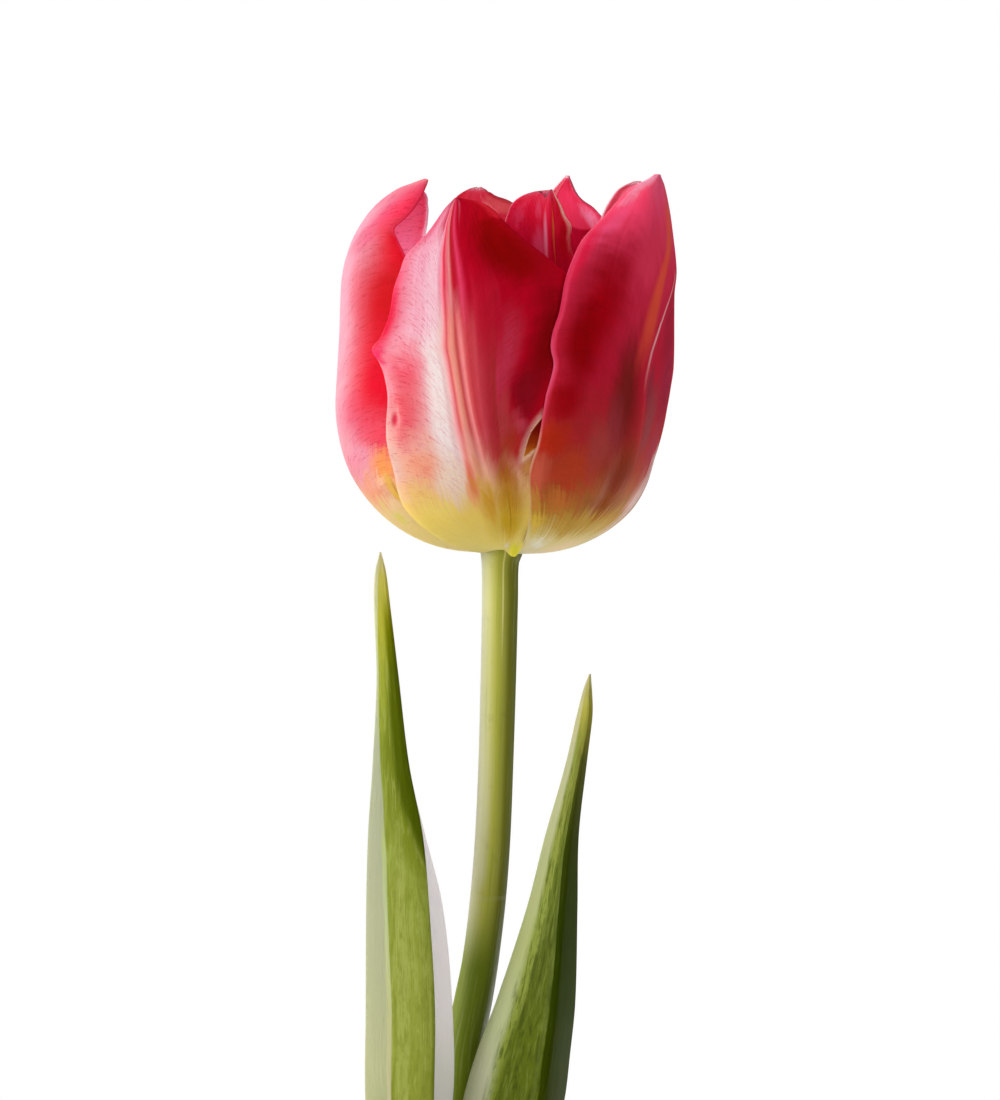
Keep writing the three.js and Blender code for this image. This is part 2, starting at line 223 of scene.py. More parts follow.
def endFinish(material, colour, rough, height=None, depth=0.2, strength=1.0, more=None):
    inputs = {"Base Color": colour, "Roughness": rough, **(more or {})}
    if height is not None:
        bump = {"Strength": strength, "Distance": depth * mm, "Height": height}
        inputs["Normal"] = Wire(material.node_tree).make("ShaderNodeBump", None, bump)
    feed(material.node_tree.nodes["Principled BSDF"], inputs)
    return material


# Forms

# the value at one place on a smooth curve through rows of (place, value, ...)
def through(rows, place, column=1):
    last = len(rows) - 1
    i = 0
    while i < last - 1 and place > rows[i + 1][0]:
        i += 1

    def slope(k):
        a, b = rows[max(k - 1, 0)], rows[min(k + 1, last)]
        return (b[column] - a[column]) / (b[0] - a[0])

    start, end = rows[i], rows[i + 1]
    span = end[0] - start[0]
    t = min(max((place - start[0]) / span, 0), 1)
    rise = end[column] - start[column]
    a, b = slope(i) * span - rise, rise - slope(i + 1) * span
    return start[column] + t * rise + t * (1 - t) * (a * (1 - t) + b * t)


def smooth(value, low, high):
    t = min(max((value - low) / (high - low), 0), 1)
    return t * t * (3 - 2 * t)


# 1 in the middle of a bell, where every offset is 0, and nearly 0 where one of them is 2
def bell(*offsets):
    return math.exp(-sum(offset ** 2 for offset in offsets))


# a grid laid on a form: placeRow(v) gives a function of u, from -1 to 1; riseOf gives the UV height
def blade(across, along, placeRow, riseOf=None):
    bm = bmesh.new()
    layer = bm.loops.layers.uv.new("blade")
    bmesh.ops.create_grid(bm, x_segments=across, y_segments=along, size=1)
    rows = {}
    for face in bm.faces:
        for corner in face.loops:
            v = corner.vert.co.y / 2 + 0.5
            corner[layer].uv = (corner.vert.co.x / 2 + 0.5, riseOf(v) if riseOf else v)
    for vert in bm.verts:
        key = round(vert.co.y, 5)
        if key not in rows:
            rows[key] = placeRow(vert.co.y / 2 + 0.5)
        vert.co = rows[key](vert.co.x) * mm
    return bm


# seams and poles are merged and faces turned outward
def closeUp(bm):
    bmesh.ops.remove_doubles(bm, verts=bm.verts, dist=1e-6)
    bmesh.ops.recalc_face_normals(bm, faces=bm.faces)
    return bm


# a closed body round an upright line: rows of (height, x, y, radius), shaped by swell(angle, height)
def roundBody(plan, swell=None):
    rows = plan["rows"]
    foot, top = rows[0][0], rows[-1][0]

    def placeRow(v):
        height = foot + (top - foot) * v
        x, y, radius = [through(rows, height, c) for c in (1, 2, 3)]

        def place(u):
            angle = math.pi * (u + 1)
            reach = radius * (swell(angle, height) if swell else 1)
            return Vector((x + reach * math.cos(angle), y + reach * math.sin(angle), height))

        return place

    return closeUp(blade(*plan["grid"], placeRow))


# a turned body from a profile of (radius, height) points
def turned(profile, segments):
    bm = bmesh.new()
    points = [bm.verts.new((radius * mm, 0, height * mm)) for radius, height in profile]
    edges = [bm.edges.new(pair) for pair in zip(points, points[1:])]
    bmesh.ops.spin(
        bm, geom=points + edges, cent=(0, 0, 0), axis=(0, 0, 1), angle=math.tau, steps=segments,
        use_merge=True,
    )
    return closeUp(bm)


def meshOf(name, bm, finishes):
    mesh = bpy.data.meshes.new(name)
    bm.to_mesh(mesh)
    bm.free()
    for finished in finishes:
        mesh.materials.append(finished)
    return placed(name, mesh)


# a piece stands for one node of the CAD
def pieceOf(name, bm, finishes, node):
    piece = meshOf(name, bm, finishes)
    piece.data.shade_smooth()
    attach(piece, "root")
    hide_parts(node)
    return piece


# both faces of a thin blade: it thins out to least of its thickness at its margin and over a length
# to its tip, and its inner face may take the second finish
def thicken(piece, thickness, inner=True, margin=0.06, thinning=2, least=0.12):
    wall = piece.modifiers.new("thickness", "SOLIDIFY")
    wall.thickness = thickness * mm
    wall.offset = 0
    if inner:
        wall.material_offset = 1
    mesh = piece.data
    sides = {}
    for loop, corner in zip(mesh.loops, mesh.uv_layers["blade"].uv):
        sides[loop.vertex_index] = abs(corner.vector.x * 2 - 1)
    group = piece.vertex_groups.new(name="thinning")
    top = max(vert.co.z for vert in mesh.vertices)
    for vert in mesh.vertices:
        share = smooth((top - vert.co.z) / mm, 0, thinning) * smooth(sides[vert.index], 1, 1 - margin)
        group.add([vert.index], share, "REPLACE")
    wall.vertex_group = "thinning"
    wall.thickness_vertex_group = least


# Petals

cup = {"seat": 4.3, "radius": 31, "heel": 28.5, "bend": 45}

petalForm = {
    "grid": (96, 144),
    "thickness": 0.5,
    "crowding": 1.3,  # above 1, rows stand closer towards the tip
    "rollStart": 0.8,
    "rollGain": 25,
    "creaseDepth": 0.5,
    "creaseWidth": 0.09,
    "aspect": 0.32,  # half of a petal's width as a share of its length
}


def onCup(way, azimuth, lift):
    turn = min(way / cup["bend"], 1) * math.pi / 2
    radius = cup["seat"] + (cup["radius"] - cup["seat"] + lift) * math.sin(turn)
    height = cup["heel"] * (1 - math.cos(turn)) - lift * math.cos(turn)
    angle = math.radians(azimuth)
    rise = height + max(way - cup["bend"], 0)
    return bloomFoot + Vector((radius * math.sin(angle), -radius * math.cos(angle), rise))


# The rib and the two margins of a petal are rows of (way up the cup, azimuth, lift off the cup).
# Nicks are (azimuth, width, depth) in the tip, grooves (place, width, depth, low, high) along the rib,
# dents (place, rise, width, height, depth), and rolls turn the left and the right margin inward.
def petalBlade(plan):
    tip = plan["rib"][-1][0]

    def riseOf(v):
        return 1 - (1 - v) ** petalForm["crowding"]

    def placeRow(v):
        share = riseOf(v)
        way = tip * share
        rib = [through(plan["rib"], way, c) for c in (1, 2)]
        edges = [[through(plan[side], way, c) for c in (1, 2)] for side in ("left", "right")]

        def place(u):
            edge = edges[0 if u < 0 else 1]
            side = abs(u)
            azimuth = rib[0] + side * (edge[0] - rib[0])
            drop = 0
            for at, width, depth in plan.get("nicks", ()):
                drop += depth * bell((azimuth - at) / width) * smooth(share, 0.9, 1)
            lift = rib[1] + u * u * (edge[1] - rib[1])
            for at, width, depth, low, high in plan.get("grooves", ()):
                fade = smooth(share, low, low + 0.12) * smooth(share, high, high - 0.12)
                lift -= depth * fade * bell((u - at) / width)
            for at, rise, width, tall, depth in plan.get("dents", ()):
                lift -= depth * bell((u - at) / width, (share - rise) / tall)
            roll = plan.get("rolls", (0, 0))[0 if u < 0 else 1]
            past = max(side - petalForm["rollStart"], 0)
            lift -= roll * smooth(share, 0.1, 0.25) * past ** 2 * petalForm["rollGain"]
            if "crease" in plan:
                beside = smooth(u - through(plan["crease"], share), 0, petalForm["creaseWidth"])
                fold = petalForm["creaseDepth"] * beside * smooth(share, 0.25, 0.4)
                lift -= fold * smooth(share, 0.8, 0.74)
            return onCup(way - drop, azimuth, lift)

        return place

    return blade(*petalForm["grid"], placeRow, riseOf)


# Every face of a petal is painted in its own width and length: a rise of colour from foot to tip, soft
# patches, bands of stripes along the rib, seams, one dark slit, fibres that run up from the foot, fine
# veins bent to the edge, and rims. Some patches, bands and seams are painted light and shade on top of the
# petal's own colours: painted shade in grooves and where a side turns from the light, and painted
# highlights and reflections on margins and folds. The slit is painted on a closed surface, and its dark
# inside is painted shade. In the order of their values:
# - patch: place across and along, half width and height, tilt, colour, share; one more value says how far
#   from its middle it is full, where 1 is its outline, and keeps that outline crisp
# - band: from and to across, low and high along, share, stops of colour across it
# - seam: its line, width, low and high along, colour, share
# - veins: colour of dark ones, shares of fine and of long ones, colour and share of light ones
# - rims: stops of colour up the left (-1) or the right (1) margin
# - glint: a painted highlight, as a patch's form and a share; only there does the face glow in its own
#   colour.
#   A face with a glow strength and no glints glows all over, a painted glow
def petalFinish(name, look):
    material, wire = startFinish(name)
    across, along = bladeOf(wire)
    across = across * 2 - 1
    side = abs(across)
    seed = look["seed"]
    fan = across * (1.08 - along * 0.55)
    foot = along.step(0.52, 0.2)
    broad = noiseOf(vectorOf(fan * 7 + seed, along * 4, seed), 1, 4, 0.6)
    fibre = noiseOf(vectorOf(fan * 42, along * 2.6 + seed, seed), 1, 3, 0.6)
    flow = along - (1 - (1 - side) ** 3) * 0.2
    hatch = noiseOf(vectorOf(side * 8 + seed, flow * 230, seed), 1, 3, 0.55, 0.5)
    flame = noiseOf(vectorOf(side * 2.4 + seed, flow * 27, seed + 3), 1, 3, 0.6)
    speck = noiseOf(spotOf(wire), 1500, 2, 0.5)
    feather = (broad - 0.5) * 0.05 + (fibre - 0.5) * (foot * 0.12 + 0.02)
    reach = along + feather + (flame - 0.5) * 0.08
    colour = reach.ramp(look["rise"])
    aspect = petalForm["aspect"]
    soft = vectorOf(across * aspect + (broad - 0.5) * 0.03, reach)
    crisp = vectorOf(across * aspect, along)

    # 0 outside an ellipse, and 1 where the distance from its middle is less than full
    def within(vector, full, x, y, width, tall, tilt):
        inputs = {
            "Vector": vector, "Location": (x * aspect, y, 0),
            "Rotation": (0, 0, math.radians(tilt)), "Scale": (width * aspect, tall, 1),
        }
        return lengthOf(wire.make("ShaderNodeMapping", {"vector_type": "TEXTURE"}, inputs)).step(1, full)

    # patches, bands and seams lay down both the petal's own colours and painted light and shade
    for x, y, width, tall, tilt, dye_and_light, share, *full in look.get("patches", ()):
        mask = within(crisp if full else soft, full[0] if full else 0.15, x, y, width, tall, tilt)
        colour = over(colour, dye_and_light, mask * share)
    for start, end, low, high, share, stops in look.get("bands", ()):
        shift = across + (fibre - 0.5) * 0.012
        strip = ((shift - start) / (end - start)).ramp(stops)
        inside = shift.step(start, start + 0.03) * shift.step(end, end - 0.03)
        fade = reach.step(low, low + 0.15) * along.step(high, high - 0.1)
        colour = over(colour, strip, inside * fade * share)
    for path, width, low, high, dye_and_light, share in look.get("seams", ()):
        line = abs(across - pathOf(along, path)).step(width, width * 0.2)
        fade = along.step(low, low + 0.15) * along.step(high, high - 0.02)
        colour = over(colour, dye_and_light, line * fade * share)
    if "slit" in look:
        slit = look["slit"]
        (headX, headY), (footX, footY), (lipX, lipY) = slit["head"], slit["foot"], slit["lip"]
        acrossFoot, alongFoot = across - footX, along - footY
        bow = alongFoot * (headY - footY - alongFoot) * slit["bow"]
        flank = acrossFoot * (headY - footY) - alongFoot * (headX - footX) + bow
        floor = alongFoot * (lipX - footX) - acrossFoot * (lipY - footY)
        near = along.step(footY - 0.04, footY) * along.step(headY + 0.04, headY)
        border = flank.step(-0.012, -0.001) * near * floor.step(-0.004, 0)
        colour = over(colour, slit["border"], border * 0.75)
        lip = floor.step(-0.002, -0.0005) * flank.step(-0.002, 0) * near
        colour = over(colour, slit["lipDye"], lip * 0.8)
        # painted shade: the slit's dark inside, on a surface that has no opening
        inside = flank.step(0, 0.0016) * floor.step(0, 0.0009)
        colour = over(colour, (alongFoot * 9).ramp(slit["painted_shades"]), inside)
    dark, fineShare, longShare, light, lightShare = look["veins"]
    fine = hatch.step(0.48, 0.68) * speck.step(0.3, 0.55) * side.step(0.08, 0.3) * along.step(0.2, 0.4)
    colour = over(colour, dark, fine * fineShare, "MULTIPLY")
    strand = foot * 0.85 + 0.15
    colour = over(colour, dark, fibre.step(0.52, 0.75) * strand * longShare, "MULTIPLY")
    colour = over(colour, light, fibre.step(0.46, 0.28) * foot * lightShare)
    grain = hatch * 0.35 + fibre * 0.2 + speck * 0.15 + flame * 0.3
    colour = over(colour, grain.step(0.3, 0.7).ramp([(0, 0.3), (1, 0.72)]), 0.4, "OVERLAY")
    for at, rim in look.get("rims", {}).items():
        edge = across.step(at * 0.972, at * 0.99)
        peak = along.step(0.994, 0.998) * across.step(0, at * 0.1)
        colour = over(colour, along.ramp(rim), wire.sum("MAXIMUM", edge, peak) * 0.85)
    height = hatch * 0.5 * side.step(0.05, 0.4) + fibre * 0.7 + speck * 0.2
    # painted light: the face glows in its own colour, all over or only inside its glints
    glow = colour
    for *ellipse, share in look.get("glints", ()):
        glow = over("000000", colour, within(soft, 0, *ellipse) * share)
    return endFinish(material, colour, fibre * 0.16 + 0.48, height, 0.2, 0.7, {
        "Subsurface Weight": look.get("glow", 0.15), "Subsurface Radius": (1.0, 0.45, 0.5),
        "Subsurface Scale": look.get("depth", 0.002), "Specular IOR Level": 0.05, "IOR": 1.4,
        "Emission Color": glow, "Emission Strength": look.get("painted_glow", 0),
    })


# the fold down petal_right, as (rise, place across the petal)
creaseLine = [(0.25, 0.25), (0.36, 0.1), (0.45, 0.05), (0.55, 0.07), (0.61, 0.1), (0.67, 0.17),
    (0.71, 0.25), (0.745, 0.35), (0.78, 0.45)]

petalPlans = {
    "petal_left": {
        "rolls": (0, 0.3),
        "grooves": [(0.82, 0.3, 1.6, 0.3, 0.92)],
        "rib": [(0, -97, 1), (15, -97, 1.4), (30, -97, 1.5), (38, -97, 1.1), (45, -97, 0.8), (57, -97, 0.1),
            (67, -97, -0.3), (72, -96, -1.2), (77, -95, -3.2), (81.6, -93, -6.5), (84.7, -89, -10.5),
            (86.2, -82, -13.8), (86.8, -71, -15.2)],
        "left": [(0, -140, 1.3), (20, -146, 1.3), (45, -150, 1.3), (60, -150, 1), (70, -149, -0.6),
            (77.9, -146.5, -3.8), (80.7, -144.5, -6), (83.4, -139, -9), (85.5, -127, -12.3),
            (86.3, -105, -14), (86.8, -73, -15.2)],
        "right": [(0, -42, -0.3), (20, -40, -0.3), (45, -34, -0.3), (60, -33, -0.3), (67.5, -35.5, -0.7),
            (71, -40, -1.5), (74.5, -46.6, -3), (76.5, -50, -4), (78.7, -48, -6.5), (81.1, -46.4, -8.5),
            (84.1, -47.8, -11), (86.3, -57, -14), (86.8, -69, -15.2)],
    },
    "petal_front": {
        "rolls": (0.7, 0),
        "grooves": [(-0.2, 0.03, 0.14, 0.3, 1.05), (-0.1, 0.03, -0.16, 0.3, 1.1),
            (-0.02, 0.03, 0.16, 0.3, 1.1), (0.04, 0.22, -0.7, 0.3, 1.1), (0.5, 0.2, 0.5, 0.35, 0.95),
            (0.3, 0.025, 0.08, 0.08, 0.42)],
        "dents": [(0.7, 0.445, 0.1, 0.035, 0.8), (-0.86, 0.5, 0.06, 0.03, 0.5),
            (0.62, 0.055, 0.32, 0.035, -2)],
        "rib": [(0, 0, 0.6), (20, -3, 0.7), (30, -6, 0.7), (45, -11.5, 0.8), (60, -15, 0.8), (70, -17, 0),
            (76, -18.5, -1.8), (81.7, -19, -5)],
        "left": [(0, -46, 1.3), (10, -50, 1.3), (20, -54, 1.4), (25.3, -50.3, 1.4), (29.7, -46.7, 1.4),
            (36.6, -45.3, 1.4), (43.8, -42.5, 1.4), (48.3, -43.9, 1.5), (51, -45.8, 1.9),
            (53.3, -48.6, 2.3), (55.8, -45.3, 1.7), (59.7, -41.9, 1.4), (64.4, -40.3, 1.1),
            (68.2, -38.1, 0.5), (71, -36.4, -0.2), (74.7, -30, -2.2), (79.4, -23.9, -4.2), (81.7, -20, -5)],
        "right": [(0, 28, -0.2), (12, 24, -0.2), (23, 20.5, -0.2), (29, 18.5, -0.2), (36, 19, -0.2),
            (41.3, 20.5, -0.2), (46, 22.5, -0.2), (52, 26, -0.3), (58, 29, -0.3), (65, 27, -0.4),
            (69.4, 18.3, -0.5), (72.5, 10.8, -0.9), (76.1, 2.8, -2), (79, -2.5, -3), (80.8, -8.6, -4),
            (81.5, -15.8, -4.8), (81.7, -18, -5)],
    },
    "petal_right": {
        "rolls": (0.9, 0),
        "crease": creaseLine,
        "grooves": [(-0.55, 0.22, 0.6, 0.3, 0.9), (-0.12, 0.1, 0.4, 0.15, 0.8)],
        "rib": [(0, 50, 1.4), (12, 52, 1.6), (23, 54, 1.5), (33, 55, 0.9), (42, 54, 0.9), (51, 55, 1.5),
            (60, 60, 1.9), (70, 67, 2.3), (78, 71, 1.8), (87.2, 70, 1.1)],
        "left": [(0, 34, 0.3), (4, 26, 0.4), (8.7, 19.5, 0.7), (16.7, 15.3, 1.1), (22.2, 13.1, 1.3),
            (28.6, 10.6, 1.3), (31.6, 11.1, 1.4), (35.3, 12.8, 1.5), (44.1, 15, 1.5), (47.3, 16.7, 1.5),
            (50.3, 17.8, 1.6), (53.4, 16.7, 1.7), (56.4, 17.5, 1.7), (60, 19.7, 1.8), (65.9, 21.7, 1.9),
            (70, 24.4, 2), (73.5, 27.8, 2), (75.9, 32, 2), (78.1, 36.6, 2), (81.9, 44.2, 2),
            (84.3, 51.4, 1.9), (85.9, 60.8, 1.5), (87.2, 69.2, 1.1)],
        "right": [(0, 86, 1.3), (12, 89, 2), (22, 92, 2.3), (28, 94, 1.9), (34, 95, 1.1), (42, 96, 1.3),
            (47, 97, 2.2), (51, 98, 2.9), (60, 100, 3.1), (70, 100, 2.8), (78, 97, 1.4), (83, 88.5, 0.2),
            (85.8, 79, 0.1), (87.2, 70.8, 1.1)],
    },
    "petal_right_rear": {
        "rolls": (0.9, 0.9),
        "rib": [(0, 112, 0.1), (22, 112, 0), (30, 111, -0.9), (45, 110, -0.9), (55, 110, 0.1),
            (70, 113, 0.1), (80, 113, -0.9), (87.6, 112, -2)],
        "left": [(0, 80, 0.1), (22, 76, 0.1), (30, 75, -1), (45, 74, -1), (53, 74, 0.1), (65, 75, 0.1),
            (73, 79, 0), (78, 84, -0.9), (83, 92, -1.4), (85.6, 98, -1.7), (87, 104, -1.9),
            (87.6, 111, -2)],
        "right": [(0, 138, 0.1), (25, 142, 0.1), (45, 144, 0.1), (62, 144, 0), (70, 142, -0.8),
            (76, 138.6, -2), (80, 135.2, -2.7), (82.8, 131.8, -2.8), (84.6, 128.6, -2.7),
            (86.4, 124.4, -2.4), (87.3, 118.6, -2), (87.6, 113, -2)],
    },
    "petal_rear_right": {
        "rolls": (0.6, 0.9),
        "dents": [(-0.2, 0.86, 0.9, 0.03, -1.2)],
        "rib": [(0, 150, 1.3), (45, 151, 1.3), (70, 151, 0.9), (80, 151.5, -0.8), (89.8, 151.5, -3)],
        "left": [(0, 116, 1.3), (25, 112, 1.3), (45, 112, 1.3), (60, 116, 1.3), (70, 124, 1.2),
            (76, 130, 0.9), (80, 136, 0.3), (82, 140, -0.2), (83.4, 142.5, -0.7), (84.7, 146.2, -1.5),
            (86, 148.5, -2), (87.8, 150.2, -2.6), (89.8, 151.2, -3)],
        "right": [(0, 184, 1.3), (25, 188, 1.3), (45, 189, 1.3), (62, 186, 0.9), (72, 179, 0),
            (79, 170, -1.2), (85, 161, -2.6), (87.1, 157.8, -2.9), (88.6, 154.5, -3), (89.8, 151.8, -3)],
    },
    "petal_rear_left": {
        "rolls": (1.2, 1),
        "nicks": [(186, 1.6, 0.6)],
        "rib": [(0, 193, 0.1), (45, 193, 0.1), (65, 192, -0.8), (75, 191, -2.5), (87.6, 190, -4.8)],
        "left": [(0, 160, 0.1), (25, 154, 0.1), (45, 152, 0.1), (65, 154, -0.5), (75, 159, -1.8),
            (80, 165, -2.6), (83, 171, -3.3), (84.6, 175.2, -3.6), (85.3, 178.8, -4), (85.7, 182, -4.3),
            (86.3, 183.8, -4.4), (87.1, 185.4, -4.6), (87.5, 187.4, -4.7), (87.6, 189.4, -4.8)],
        "right": [(0, 226, -0.3), (25, 236, -0.3), (45, 240, -0.3), (60, 234, -1.3), (68, 226, -3),
            (74, 216, -4.2), (77, 210, -4.6), (80, 206.5, -4.9), (83, 203.5, -4.9), (85.2, 201, -4.8),
            (86.4, 197.8, -4.8), (87.3, 194, -4.8), (87.6, 191, -4.8)],
    },
    "petal_rear_inner": {
        "nicks": [(158.3, 1.5, 1.4)],
        "grooves": [(0.02, 0.07, 0.5, 0.5, 1.05)],
        "rib": [(0, 158, -1.1), (45, 158, -1.1), (60, 157.5, -2.2), (70, 157, -4), (78, 156.3, -6),
            (86.9, 155.4, -7.5)],
        "left": [(0, 132, -1.1), (15, 131, -1.5), (30, 130, -1.9), (45, 130, -1.9), (60, 134, -2.2),
            (68, 141, -3.4), (74, 147.5, -4.5), (77, 148, -5.2), (79.6, 146.5, -6), (81.4, 148.8, -6.4),
            (83.8, 151, -6.8), (85.5, 153, -7.2), (86.9, 154.9, -7.5)],
        "right": [(0, 186, -1.1), (45, 192, -1.1), (60, 190, -2.2), (70, 185, -4.2), (79, 179.5, -6.2),
            (82, 177.5, -6.5), (84.4, 174.8, -6.6), (85.9, 169.8, -6.8), (86.7, 162.5, -7.1),
            (86.9, 156, -7.5)],
    },
}

